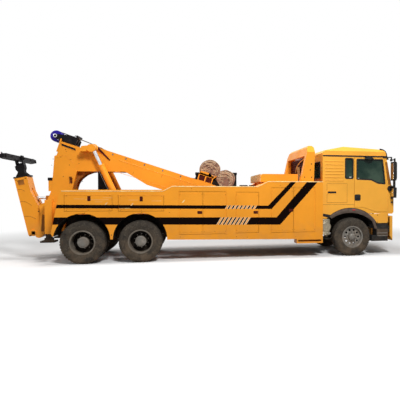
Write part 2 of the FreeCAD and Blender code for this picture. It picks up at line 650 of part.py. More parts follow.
REAR_PANE_IN_Y = 300.0
REAR_PANE_OUT_Y = CAB_HALF_W - 220
GRILLE_HALF_W = CAB_HALF_W - 260
CAB_DOOR_GAP = 8.0
CAB_DOOR_SKIN = 5.0
BELT_REAR_Z = 2112.0
BELT_FRONT_Z = 1985.0


def cab_side():
    """Outer side outline of the cab below the roof seam."""
    return [(CAB_REAR_X, 1030.0), (7200.0, 1030.0), (7420.0, 1165.0), (8060.0, CAB_PANEL_LOW_Z),
            (8180.0, CAB_PANEL_LOW_Z), (CAB_FRONT_X, 1200.0), (CAB_FRONT_X, 1730.0),
            (8150.0, 1950.0), (7985.0, CAB_ROOF_SEAM_Z), (CAB_REAR_X, CAB_ROOF_SEAM_Z)]


def door_outline(grow):
    """Cab door seen from the side, grown by a gap all round."""
    g = grow
    return [(CAB_DOOR_REAR_X - g, 1335.0 - g), (7300.0, 1335.0 - g), (7700.0, 1205.0 - g),
            (CAB_DOOR_FRONT_X + g, 1205.0 - g), (CAB_DOOR_FRONT_X + g, 2000.0),
            (7935.0 + g, CAB_DOOR_TOP_Z + g), (CAB_DOOR_REAR_X - g, CAB_DOOR_TOP_Z + g)]


def window_outline(grow):
    g = grow
    return [(7104.0 - g, BELT_REAR_Z - g), (7538.0, 2098.0 - g), (7725.0, 2006.0 - g),
            (7960.0 + g, BELT_FRONT_Z - g),
            (7880.0 + g, WINDOW_TOP_Z + g), (7104.0 - g, WINDOW_TOP_Z + g)]


REAR_QUARTER = (6768.0, 7000.0, 2130.0, QUARTER_TOP_Z)
SEAL = 0.3
PANE = 6.0
SCREEN_HALF_W = CAB_HALF_W - 120


def make_cab():
    """Hollow cab shell with its openings, the roof, the glass and the fittings inside."""
    outer = side_plate(cab_side(), -CAB_HALF_W, CAB_HALF_W)
    inner = side_plate([(CAB_REAR_X + CAB_WALL, CAB_FLOOR_Z), (8140.0, CAB_FLOOR_Z), (8140.0, 1720.0),
                        (8085.0, 1940.0), (7920.0, CAB_ROOF_SEAM_Z + 5),
                        (CAB_REAR_X + CAB_WALL, CAB_ROOF_SEAM_Z + 5)],
                       -CAB_HALF_W + CAB_WALL, CAB_HALF_W - CAB_WALL)
    tunnel = box(CAB_REAR_X - 10, 8130, -330, 330, 1000, 1300)
    guard_x, guard_z, guard_r = circle_through(*FENDER_ARC)
    wells = []
    for sign in (1, -1):
        wells.append(across(guard_x, guard_z, sign * 640, sign * (CAB_HALF_W + 5), guard_r + GUARD_GAP))
    cuts = [inner, tunnel, *wells]
    x0, x1, z0, z1 = REAR_QUARTER
    for sign in (1, -1):
        y0, y1 = sign * (CAB_HALF_W - CAB_WALL - 5), sign * (CAB_HALF_W + 5)
        cuts.append(side_plate(door_outline(CAB_DOOR_GAP), y0, y1))
        cuts.append(box(x0, x1, y0, y1, z0, z1))
        cuts.append(box(CAB_REAR_X - 5, CAB_REAR_X + CAB_WALL + 5, sign * REAR_PANE_IN_Y, sign * REAR_PANE_OUT_Y,
                        REAR_PANE_LOW_Z, REAR_PANE_TOP_Z))
    screen = side_plate([(8160.0, 1990.0), (8050.0, 1990.0), (7870.0, SCREEN_TOP_Z), (8030.0, SCREEN_TOP_Z)],
                        -SCREEN_HALF_W, SCREEN_HALF_W)
    shell = outer.cut(cuts + [screen])
    low, high = V(CAB_DOOR_FRONT_X, CAB_HALF_W, 1205.0), V(CAB_DOOR_FRONT_X, CAB_HALF_W, 2000.0)
    way = V(0, 0, 1)
    pins = [rod(low - way * 40, low + way * (PIN_REACH - 1), HINGE_PIN_R),
            rod(high - way * (PIN_REACH - 1), high + way * 110, HINGE_PIN_R)]
    y0, y1 = TILT_ARM_Y, TILT_ARM_Y + TILT_ARM_T
    arm = joined([side_plate([(TILT_X, TILT_Z - 30), (TILT_X, TILT_Z + 30), (TILT_X - 165, TILT_Z + 30),
                              (TILT_X - 165, 1210.0), (TILT_X - 215, 1210.0),
                              (TILT_X - 215, TILT_Z - 30)], y0, y1),
                  across(TILT_X, TILT_Z, y0, y1, TILT_PIN_R + 20)])
    arm = arm.cut(across(TILT_X, TILT_Z, y0 - 5, y1 + 5, TILT_PIN_R + RUNNING_FIT))
    keep("cab_shell", joined([shell, arm, mirrored(arm), *pins, *[mirrored(p) for p in pins]]))

    seam = CAB_ROOF_SEAM_Z
    roof_side = [(CAB_REAR_X, CAB_ROOF_SEAM_Z), (7985.0, CAB_ROOF_SEAM_Z), (7990.0, seam + 46),
                 ("arc", (7950.0, seam + 146), (7825.0, seam + 206)), (6756.0, ROOF_TOP_Z),
                 (6178.0, seam + 149),
                 (CAB_REAR_X, seam + 76)]
    roof_room = [(CAB_REAR_X + 60, CAB_ROOF_SEAM_Z - 5), (7920.0, CAB_ROOF_SEAM_Z - 5), (7900.0, seam + 96),
                 (7790.0, seam + 151), (6770.0, seam + 214), (6220.0, seam + 101)]
    roof = side_plate(roof_side, -CAB_HALF_W + 10, CAB_HALF_W - 10)
    corner = 70.0
    w, top_z = CAB_HALF_W - 10, ROOF_TOP_Z
    for sign in (1, -1):
        roof = roof.cut(cross_plate([(sign * (w - corner * 2), top_z + 5), (sign * (w + 5), top_z + 5),
                                     (sign * (w + 5), top_z - corner * 2)], CAB_REAR_X - 5, CAB_FRONT_X))
    keep("cab_roof", roof.cut(side_plate(roof_room, -CAB_HALF_W + 90, CAB_HALF_W - 90)))

    panes = [side_plate([(8140.0, 1990.0 + SEAL), (8132.0, 1990.0 + SEAL), (7980.0, SCREEN_TOP_Z - SEAL),
                         (7988.0, SCREEN_TOP_Z - SEAL)],
                        -SCREEN_HALF_W + SEAL, SCREEN_HALF_W - SEAL)]
    for sign in (1, -1):
        y = sign * (CAB_HALF_W - 20)
        panes.append(box(x0 + SEAL, x1 - SEAL, y, y - sign * PANE, z0 + SEAL, z1 - SEAL))
        panes.append(box(CAB_REAR_X + 20, CAB_REAR_X + 20 + PANE, sign * (REAR_PANE_IN_Y + SEAL),
                         sign * (REAR_PANE_OUT_Y - SEAL), REAR_PANE_LOW_Z + SEAL, REAR_PANE_TOP_Z - SEAL))
        glass = side_plate(window_outline(-SEAL), y, y - sign * PANE)
        side = "left" if sign > 0 else "right"
        keep(f"door_glass_{side}", glass)
    keep("cab_glass", apart(panes))

    slab = side_plate(door_outline(0), CAB_HALF_W - CAB_DOOR_SKIN, CAB_HALF_W)
    back = 40.0
    past_in, past_out = CAB_HALF_W - CAB_WALL - 20, CAB_HALF_W + 20
    inner_door = side_plate(door_outline(0), CAB_HALF_W - CAB_WALL, CAB_HALF_W - CAB_DOOR_SKIN)
    inner_door = inner_door.cut(box(CAB_DOOR_FRONT_X - back, CAB_DOOR_FRONT_X + 5, past_in, past_out,
                                    1100, 2800))
    door = joined([slab, inner_door]).cut(side_plate(window_outline(0), past_in, past_out))
    handle = box(7060, 7210, CAB_HALF_W - 14, CAB_HALF_W + 5, 1570, 1680)
    grip = box(7075, 7195, CAB_HALF_W - 14, CAB_HALF_W + 6, 1630, 1655)
    sockets = [rod(low, low + way * PIN_REACH, HINGE_PIN_R + RUNNING_FIT),
               rod(high - way * PIN_REACH, high, HINGE_PIN_R + RUNNING_FIT)]
    upper_pin = rod(high, high + way * 110, HINGE_PIN_R + RUNNING_FIT)
    door = joined([door.cut(handle), grip, rod(low, high, HINGE_R)]).cut([*sockets, upper_pin])
    keep("cab_door_left", door)
    keep("cab_door_right", mirrored(door))

    seats = []
    for y in (480.0, -480.0):
        seats.append(box(7050, 7560, y - 240, y + 240, 1600, 1720))
        seats.append(side_plate([(7050.0, 1720.0), (7180.0, 1720.0), (7090.0, 2420.0), (6990.0, 2420.0)],
                                y - 230, y + 230))
        seats.append(box(7150, 7450, y - 150, y + 150, CAB_FLOOR_Z, 1600))
    bunk = box(CAB_REAR_X + CAB_WALL + 5, 6850, -CAB_HALF_W + 80, CAB_HALF_W - 80, CAB_FLOOR_Z, 1820)
    dash = side_plate([(7800.0, CAB_FLOOR_Z), (8139.0, CAB_FLOOR_Z), (8139.0, 1715.0), (8100.0, 1860.0),
                       (7850.0, 1880.0), (7750.0, 1700.0)], -CAB_HALF_W + 60, CAB_HALF_W - 60)
    column = rod(V(7900, 480, 1760), V(7690, 480, 1975), 40)
    hub = V(7690, 480, 1975)
    tilt = V(-0.7, 0, 0.7)
    wheel = Part.makeCylinder(235, 30, hub, tilt).cut(Part.makeCylinder(203, 40, hub - tilt * 5, tilt))
    spokes = rod(V(7682, 265, 1985), V(7682, 695, 1985), 13)
    keep("cab_interior", joined([joined(seats), bunk, dash, column, wheel, spokes]))


MIRROR_OUT_Y = CAB_HALF_W + 230
MIRROR_W = 190.0
WIDE_MIRROR_W = 170.0
MIRROR_TOP_Z = CAB_ROOF_SEAM_Z - 154
MIRROR_REAR_X = 8102.0
MIRROR_FRONT_X = 8197.0
MIRROR_POLE = 30.0


def make_cab_fittings():
    """Sun visor, mirrors on their arms, front grille and the wiper rail."""
    seam = CAB_ROOF_SEAM_Z
    visor = side_plate([(7986.1, seam + 8), (8090.0, seam - 74), (8100.0, seam - 64), (8005.0, seam + 66),
                        (7990.1, seam + 46)], -CAB_HALF_W + 60, CAB_HALF_W - 60)
    fittings = [visor]
    for sign in (1, -1):
        y = sign * CAB_HALF_W
        out = sign * MIRROR_OUT_Y
        pole_x = MIRROR_REAR_X + 20
        pole_end = pole_x + MIRROR_POLE
        root_top = box(7880, pole_end, y, y + sign * 30, seam - 32, seam - 4)
        drop = box(pole_x, pole_end, y, y + sign * 30, seam - 110, seam - 4)
        arm_top = box(pole_x, pole_end, y, out, seam - 110, seam - 82)
        arm_low = box(8062, pole_end, y, out, 1900, 1935)
        pole = box(pole_x, pole_end, out - sign * 40, out, 1900, seam - 82)
        main = side_plate([(MIRROR_REAR_X, 2080.0), (MIRROR_FRONT_X - 20, 2080.0), (MIRROR_FRONT_X, 2150.0),
                           (MIRROR_FRONT_X, MIRROR_TOP_Z - 40), (MIRROR_FRONT_X - 20, MIRROR_TOP_Z),
                           (MIRROR_REAR_X, MIRROR_TOP_Z)], out, out - sign * MIRROR_W)
        wide = side_plate([(MIRROR_REAR_X + 10, 1600.0), (MIRROR_FRONT_X - 15, 1600.0),
                           (MIRROR_FRONT_X - 5, 1880.0), (MIRROR_REAR_X + 10, 1900.0)],
                          out, out - sign * WIDE_MIRROR_W)
        link = box(pole_x + 5, pole_end + 5, out - sign * 100, out - sign * 60, 1890, 2090)
        fittings.append(joined([root_top, drop, arm_top, arm_low, pole, main, wide, link]))
        kerb = box(7330, 7560, sign * CAB_HALF_W, sign * (CAB_HALF_W + 100), seam - 32, seam - 2)
        fittings.append(kerb)
    grille = []
    for k in range(4):
        z = 1260 + k * 105
        grille.append(box(CAB_FRONT_X, CAB_FRONT_X + 16, -GRILLE_HALF_W + 40, GRILLE_HALF_W - 40, z, z + 60))
    back = box(CAB_FRONT_X, CAB_FRONT_X + 8, -GRILLE_HALF_W, GRILLE_HALF_W, 1230, 1660)
    fittings.append(joined([*grille, back]))
    keep("cab_fittings", joined(fittings))


BUMPER_REAR_X = 8062.0
BUMPER_FRONT_X = FRONT_END
BUMPER_TOP_Z = 1085.0
BUMPER_LOW_Z = 400.0
BUMPER_HALF_W = 1220.0
LAMP_Z = 700.0
LAMP_HALF_H = 90.0
TOW_PIN_R = 21.0


def make_front():
    """Bumper with its lamp openings, mudguards with steps, and all the lamps on the chassis."""
    outline = [(BUMPER_REAR_X, 533.0), (8150.0, BUMPER_LOW_Z), (8200.0, BUMPER_LOW_Z), (BUMPER_FRONT_X, 560.0),
               (BUMPER_FRONT_X, 900.0), (8205.0, BUMPER_TOP_Z), (BUMPER_REAR_X, BUMPER_TOP_Z)]
    bumper = side_plate(outline, -BUMPER_HALF_W, BUMPER_HALF_W)
    hollow = side_plate([(BUMPER_REAR_X - 5, 500.0), (8150.0, 440.0), (8190.0, 560.0), (8190.0, 1045.0),
                         (BUMPER_REAR_X - 5, 1045.0)], -BUMPER_HALF_W + 40, BUMPER_HALF_W - 40)
    corners = []
    for sign in (1, -1):
        w = sign * BUMPER_HALF_W
        corners.append(flat_plate([(BUMPER_FRONT_X + 5, w - sign * 230), (BUMPER_FRONT_X + 5, w + sign * 5),
                                   (8130.0, w + sign * 5)], 380, 1100))
    lamp_cuts = []
    lamps = []
    for sign in (1, -1):
        y0, y1 = sign * 600, sign * 960
        lamp_cuts.append(box(8180, BUMPER_FRONT_X + 5, y0, y1, LAMP_Z - LAMP_HALF_H, LAMP_Z + LAMP_HALF_H))
        lamps.append(box(8191, BUMPER_FRONT_X - 3, y0 + sign * SEAL, y1 - sign * SEAL,
                         LAMP_Z - LAMP_HALF_H + SEAT_GAP, LAMP_Z + LAMP_HALF_H - SEAT_GAP))
    slot = box(8180, BUMPER_FRONT_X + 5, -480, 480, 560, 840)
    bumper = bumper.cut([hollow, slot, *lamp_cuts, *corners])
    tie = box(RAIL_FRONT_X - 150, 8195, RAIL_OUTER_Y, RAIL_OUTER_Y + 40, 800, 900)
    cross = box(RAIL_FRONT_X, 8195, -RAIL_OUTER_Y - 40, RAIL_OUTER_Y + 40, 840, 900)
    tow_block = box(8000, 8225, -110, 110, 470, 850)
    tow_block = tow_block.cut(box(8100, 8230, -60, 60, 545, 640))
    tow_bore = rod(V(8165, 0, BUMPER_LOW_Z - 5), V(8165, 0, 545), TOW_PIN_R)
    tilt_pin = across(TILT_X, TILT_Z, RAIL_OUTER_Y + 5, TILT_ARM_Y + TILT_ARM_T + 10, TILT_PIN_R)
    carriers = both_sides(joined([tie, tilt_pin]))
    keep("front_bumper", joined([bumper, *carriers, cross, tow_block]).cut(tow_bore))

    a, b, c = FENDER_ARC
    guard = side_plate([a, ("arc", b, c), (7707.0, 728.0), (7690.0, 728.0), (7590.0, 940.0),
                        ("arc", (7035.0, 1225.0), (6330.0, 1040.0))], 700, CAB_HALF_W + 25)
    steps = side_plate([(7700.0, 545.0), (8045.0, 545.0), (8045.0, 1130.0), (7700.0, 1130.0)],
                       860, CAB_HALF_W + 10)
    lower = box(7560, 8040, 880, CAB_HALF_W, 385, 546)
    treads = [box(7760, 7985, 900, CAB_HALF_W + 15, 600, 730), box(7760, 7985, 960, CAB_HALF_W + 15, 790, 880)]
    stay = box(7850, 7950, RAIL_OUTER_Y, 870, 745, 799)
    rear_stay = box(6300, 6350, RAIL_OUTER_Y, 720, 960, 1010)
    rear_stay_top = box(6330, 6400, 690, 740, 985, 1085)
    side = joined([guard, steps.cut(treads), lower, stay, rear_stay, rear_stay_top])
    keep("mudguards_and_steps", apart(both_sides(side)))

    for sign in (1, -1):
        lamps.append(box(-775, -760.3, sign * 405, sign * 425, 950, 1050))
    keep("lamps", apart(lamps))


# ---- boom with its rear leg ----
FOLD_X = -1390.0
FOLD_Z = 700.0
FOLD_PIN_R = 45.0
ARM_HALF_W = 210.0
FORK_GAP = 8.0
FORK_T = 45.0
LIFT_TOP_X = 100.0
LIFT_TOP_Z = 2890.0
INNER_HALF_W = 270.0
INNER_LOW_T = -125.0
INNER_REAR_S = 2350.0
INNER_HIGH_T = 128.0
SLIDE_GAP = 6.0
FOLD_BASE_X = -150.0
FOLD_BASE_Z = 1600.0
FOLD_SLOT_Y = 85.0
LEG_WINDOW_FRONT_X = -720.0
LEG_WINDOW_TOP_Z = 1830.0
LEG_LAMP_Y = 230.0
LEG_LAMP_Z = 2130.0


def make_boom():
    """Box boom with cover, winch bed and heel, and the closed rear leg that carries the underlift."""
    h = BOOM_HALF_W
    corners = [(-180, BOOM_LOW_T), (-180, BOOM_HIGH_T), (BOOM_END_S, BOOM_HIGH_T), (BOOM_END_S, BOOM_LOW_T)]
    heel_low, heel_top, tip_top, tip_low = [(p.x, p.z) for p in (boom_point(s, t) for s, t in corners)]
    outer = side_plate([heel_low, heel_top, tip_top, tip_low, (-330.0, BOOM_UNDERSIDE_Z),
                        (870.0, BOOM_UNDERSIDE_Z), (1430.0, 1950.0)], -h, h)
    leg = side_plate([(-330.0, BOOM_UNDERSIDE_Z), (-450.0, 1810.0), (-520.0, 1500.0), (-980.0, 1160.0),
                      (-1150.0, 640.0),
                      ("arc", (-1250.0, 575.0), (-1330.0, 610.0)), (FOLD_X + 150, 900.0), (-1215.0, 1225.0),
                      (-1247.0, 1405.0), (-1060.0, 1522.0), (-940.0, 1820.0), (-870.0, 2690.0),
                      (-600.0, 2800.0), (-100.0, 2600.0), (-100.0, BOOM_UNDERSIDE_Z)], -h, h)
    body = joined([outer, leg])
    way = INNER_HIGH_T + SLIDE_GAP
    room_y = INNER_HALF_W + SLIDE_GAP
    hollow = boom_block(INNER_REAR_S - 950, BOOM_END_S + 10, -room_y, room_y, INNER_LOW_T - SLIDE_GAP, way)
    body = body.cut(hollow)
    cover = boom_block(420, 3240, -h + 40, h - 40, BOOM_HIGH_T - 1, BOOM_COVER_T)
    hump = []
    web_front = LIFT_TOP_X - LIFT_PIN_R - 2 * LIFT_DRIFT - 55
    top = V(LIFT_TOP_X, 0, LIFT_TOP_Z)
    for sign in (1, -1):
        inner_y, outer_y = LIFT_Y - 45 - EAR_T, LIFT_Y + 45
        plate = side_plate([(LIFT_TOP_X - 260, top.z + 45), (LIFT_TOP_X + 20, top.z + 120),
                            ("arc", (LIFT_TOP_X + 110, top.z + 30), (LIFT_TOP_X + 60, top.z - 70)),
                            (LIFT_TOP_X - 60, top.z - 200), (LIFT_TOP_X - 300, top.z - 120)],
                           sign * inner_y, sign * (inner_y + EAR_T))
        far = side_plate([(web_front - 5, top.z + 30),
                          ("arc", (LIFT_TOP_X, top.z + 95), (LIFT_TOP_X + 95, top.z)),
                          ("arc", (LIFT_TOP_X, top.z - 95), (web_front - 5, top.z - 30))],
                         sign * outer_y, sign * (outer_y + EAR_T))
        web = side_plate([(LIFT_TOP_X - 300, top.z - 90), (web_front, top.z - 90), (web_front, top.z + 60),
                          (LIFT_TOP_X - 260, top.z + 45)], sign * (h - 5), sign * (outer_y + EAR_T))
        pin = across(LIFT_TOP_X, top.z, sign * inner_y, sign * (outer_y + EAR_T), LIFT_PIN_R)
        hump.append(joined([plate, far, web, pin]))
    heel_end = h + EAR_GAP + EAR_T + 15
    heel_pin = across(BOOM_PIVOT_X, BOOM_PIVOT_Z, -heel_end, heel_end, BOOM_PIN_R)
    bed = boom_block(-760, 300, -h, h, 130, 250)
    bed_side = [boom_block(-300, 440, sign * h, sign * (h - 30), 100, 305) for sign in (1, -1)]
    cheeks = []
    inner = ARM_HALF_W + FORK_GAP
    for sign in (1, -1):
        cheeks.append(side_plate([(-1080.0, 1120.0), (-1120.0, 660.0), (FOLD_X, FOLD_Z - 78),
                                 ("arc", (FOLD_X - 78, FOLD_Z), (FOLD_X, FOLD_Z + 78)), (-1230.0, 980.0),
                                 (-1190.0, 1225.0)],
                                 sign * inner, sign * (inner + FORK_T)))
    clear = side_plate([(-1190.0, 500.0), (-1700.0, 500.0), (-1700.0, 1500.0), (-1215.0, 1500.0),
                        (-1215.0, 1200.0)], -inner, inner)
    pin_end = inner + FORK_T + 12
    fold_pin = across(FOLD_X, FOLD_Z, -pin_end, pin_end, FOLD_PIN_R)
    slot = FOLD_SLOT_Y
    tunnel = side_plate([(FOLD_BASE_X + 90, FOLD_BASE_Z - 100), (FOLD_BASE_X + 90, FOLD_BASE_Z + 90),
                         (-1400.0, 1700.0), (-1400.0, 1020.0)], -slot, slot)
    rib = side_plate([(-430.0, 1800.0), (FOLD_BASE_X + 20, FOLD_BASE_Z + 75),
                      ("arc", (FOLD_BASE_X + 75, FOLD_BASE_Z), (FOLD_BASE_X + 20, FOLD_BASE_Z - 75)),
                      (-520.0, 1480.0), (-700.0, 1480.0), (-700.0, 1800.0)], slot, slot + EAR_T)
    lamp_y, lamp_z = LEG_LAMP_Y, LEG_LAMP_Z
    lamp_stand = joined([box(-1020, -900, lamp_y - 60, lamp_y + 60, lamp_z - 350, lamp_z - 70),
                         box(-1035, -905, lamp_y - 68, lamp_y + 68, lamp_z - 75, lamp_z)])
    base_pin = across(FOLD_BASE_X, FOLD_BASE_Z, -slot - EAR_T, slot + EAR_T, FOLD_CYL_PIN_R)
    pads = [boom_block(BOOM_END_S - 260, BOOM_END_S - 30, -200, 200, INNER_LOW_T - SLIDE_GAP - 5,
                       INNER_LOW_T - SEAT_GAP),
            boom_block(INNER_REAR_S + 1000, INNER_REAR_S + 1200, -200, 200, INNER_HIGH_T + SEAT_GAP,
                       INNER_HIGH_T + SLIDE_GAP + 5)]
    body = joined([body, cover, *bed_side, bed, heel_pin, *hump, *pads])
    window = box(-1300, LEG_WINDOW_FRONT_X, -inner, inner, 1180, LEG_WINDOW_TOP_Z)
    body = body.cut([tunnel, window])
    body = joined([body, rib, mirrored(rib), base_pin, *cheeks, *both_sides(lamp_stand)])
    body = body.cut([clear])
    keep("boom", joined([body, fold_pin]))


SHEAVE_S = 4093.0
SHEAVE_T = 260.0
SHEAVE_Y = 102.5
SHEAVE_AXLE_R = 30.0
HEAD_CHEEKS_Y = (-230.0, -25.0, 180.0)
HEAD_CHEEK_T = 50.0
FACE_GAP = 6.0


def make_boom_inner():
    """Telescoping section with the head, its sheaves and their bracket above the boom's end."""
    y = INNER_HALF_W
    inner = boom_block(INNER_REAR_S, BOOM_END_S + 45, -y, y, INNER_LOW_T, INNER_HIGH_T)
    inner = inner.cut(boom_block(INNER_REAR_S - 10, BOOM_END_S - 200, -y + 12, y - 12,
                                 INNER_LOW_T + 12, INNER_HIGH_T - 12))
    face_y = BOOM_HALF_W - 20
    face = boom_block(BOOM_END_S + 10, BOOM_END_S + 45, -face_y, face_y, INNER_LOW_T + 5, 230)
    bracket = []
    low = BOOM_HIGH_T + FACE_GAP
    for w in HEAD_CHEEKS_Y:
        corners = [boom_point(s, t, w) for s, t in (
            (BOOM_END_S - 330, low), (BOOM_END_S + 60, low), (SHEAVE_S + 45, SHEAVE_T - 40),
            (SHEAVE_S + 45, SHEAVE_T + 40), (BOOM_END_S - 90, 375), (BOOM_END_S - 250, 392),
            (BOOM_END_S - 335, 320))]
        bracket.append(Part.Face(wire(corners)).extrude(V(0, HEAD_CHEEK_T, 0)))
    bracket.append(boom_block(BOOM_END_S - 330, BOOM_END_S + 30, -230, 230, low, low + 20))
    bracket.append(boom_block(BOOM_END_S - 320, BOOM_END_S - 255, -230, 230, 280, 340))
    top = boom_point(SHEAVE_S, SHEAVE_T)
    axle = across(top.x, top.z, -240, 240, SHEAVE_AXLE_R)
    bore = SHEAVE_AXLE_R + SEAT_GAP
    sheaves = []
    for w in (-SHEAVE_Y, SHEAVE_Y):
        sheave = turned([(w - 25, bore), (w - 25, 150), (w - 12, 150), (w, 128), (w + 12, 150), (w + 25, 150),
                         (w + 25, 35)], top.x, top.z)
        sheaves.append(sheave)
    carrier = joined([inner, face, *bracket, axle])
    keep("boom_inner", apart([carrier] + [s.cut(across(top.x, top.z, -300, 300, 30.5)) for s in sheaves]))


WINCH_DRUMS = ((0.0, 688.0, 235.0), (-486.0, 554.0, 225.0))    # s, t and radius of each drum with its rope


WINCH_HALF_W = 259.7


def make_winches():
    """Two winches on the bed behind the boom's heel, in one frame with open sides."""
    pieces = []
    for sign in (1, -1):
        side = boom_block(-119, 296, sign * WINCH_HALF_W, sign * (WINCH_HALF_W - 25), 250, 530)
        side = side.cut([boom_block(-90, 75, sign * 300, sign * 200, 320, 470),
                         boom_block(110, 270, sign * 300, sign * 200, 320, 470)])
        pieces.append(side)
        pieces.append(boom_block(-40, 40, sign * WINCH_HALF_W, sign * (WINCH_HALF_W - 25), 525, 720))
        pieces.append(boom_block(-560, -410, sign * WINCH_HALF_W, sign * (WINCH_HALF_W - 25), 250, 600))
    pieces.append(boom_block(-760, 296, -WINCH_HALF_W, WINCH_HALF_W, 250, 268))
    for s, t, r in WINCH_DRUMS:
        c = boom_point(s, t)
        pieces.append(across(c.x, c.z, -250, 250, 60))
        pieces.append(across(c.x, c.z, -230, 230, r))
    keep("winches", joined(pieces))


# ---- cylinders and the folding underlift ----
LIFT_BARREL_R = 80.0
LIFT_ROD_R = 45.0
LIFT_EYE_W = 80.0
LIFT_DRIFT = 26.0           # play of the top eye round its pin
FOLD_CYL_PIN_R = 30.0
FOLD_BARREL_R = 62.0
FOLD_ROD_R = 35.0
FOLD_BARREL_L = 1010.0
ARM_LEAN = 12.5             # lean of the folded arm behind the vertical
ARM_HALF_D = 150.0
ARM_TOP_S = 1463.0
ARM_END_S = -66.0
ARM_WALL = 18.0
EYE_S = 880.0
FOLD_GROOVE_S = (300.0, 1150.0)
FOLD_GROOVE_Y = 60.0
EYE_N = 210.0
SLEEVE_REAR_S = 250.0
HEAD_S = 1500.0
BAR_S = 1960.0
BAR_N = 15.0
BAR_HALF_L = 1080.0
BAR_HALF_H = 60.0
BAR_HALF_D = 55.0
TONGUE_HALF_W = 80.0
NECK_TOP_S = 1790.0
TONGUE_GAP = 8.0
TONGUE_T = 30.0
BAR_PIN_R = 40.0
FORK_BORE_R = 26.0
FORK_BORE_Y = 985.0


def arm_point(s, n, y=0.0):
    """Point s along the folded arm from its pin and n in front of its axis."""
    a = math.radians(ARM_LEAN)
    return V(FOLD_X - s * math.sin(a) + n * math.cos(a), y, FOLD_Z + s * math.cos(a) + n * math.sin(a))


def arm_plate(outline, y0, y1):
    """Outline in s and n of the arm, thick from y0 to y1."""
    points = placed(outline, lambda p: arm_point(p[0], p[1], y0))
    return Part.Face(wire(points)).extrude(V(0, y1 - y0, 0))


def arm_block(s0, s1, y0, y1, n0, n1):
    return arm_plate([(s0, n0), (s1, n0), (s1, n1), (s0, n1)], y0, y1)


def cylinder_pair(base, tip, y, eye_w, barrel_r, rod_r, barrel_l, pin_base, pin_tip, ring):
    """Barrel with its foot eye, and rod with its ring, both lined up from base to tip."""
    b, t = V(base.x, y, base.z), V(tip.x, y, tip.z)
    way = (t - b).normalize()
    across_y = V(0, 1, 0)
    half = V(0, eye_w / 2, 0)
    foot = Part.makeCylinder(pin_base + 35, eye_w, b - half, across_y)
    bore = Part.makeCylinder(pin_base + RUNNING_FIT, eye_w + 2, b - half - V(0, 1, 0), across_y)
    tube = rod(b + way * (pin_base + 31), b + way * barrel_l, barrel_r)
    core = rod(b + way * (pin_base + 90), b + way * (barrel_l + 5), rod_r + 0.5)
    barrel = tube.cut(core).fuse(foot).cut(bore).removeSplitter()
    stem = rod(b + way * (pin_base + 110), t - way * (pin_tip + ring / 2), rod_r)
    ring = Part.makeCylinder(pin_tip + ring, eye_w, t - half, across_y)
    hole = Part.makeCylinder(pin_tip, eye_w + 2, t - half - V(0, 1, 0), across_y)
    return barrel, stem.fuse(ring).cut(hole).removeSplitter()


def make_cylinders():
    base, tip = V(LIFT_BASE_X, 0, LIFT_BASE_Z), V(LIFT_TOP_X, 0, LIFT_TOP_Z)
    barrel, stem = cylinder_pair(base, tip, LIFT_Y, LIFT_EYE_W, LIFT_BARREL_R, LIFT_ROD_R, 1270,
                                 LIFT_PIN_R, LIFT_PIN_R + LIFT_DRIFT, 32)
    keep("lift_barrels", apart(both_sides(barrel)))
    keep("lift_rods", apart(both_sides(stem)))
    base, tip = V(FOLD_BASE_X, 0, FOLD_BASE_Z), arm_point(EYE_S, EYE_N)
    barrel, stem = cylinder_pair(base, tip, 0, 90, FOLD_BARREL_R, FOLD_ROD_R, FOLD_BARREL_L,
                                 FOLD_CYL_PIN_R, FOLD_CYL_PIN_R, 18)
    stub = across(tip.x, tip.z, -52, 52, FOLD_CYL_PIN_R)
    keep("fold_barrel", barrel)
    keep("fold_rod", stem.fuse(stub).removeSplitter())


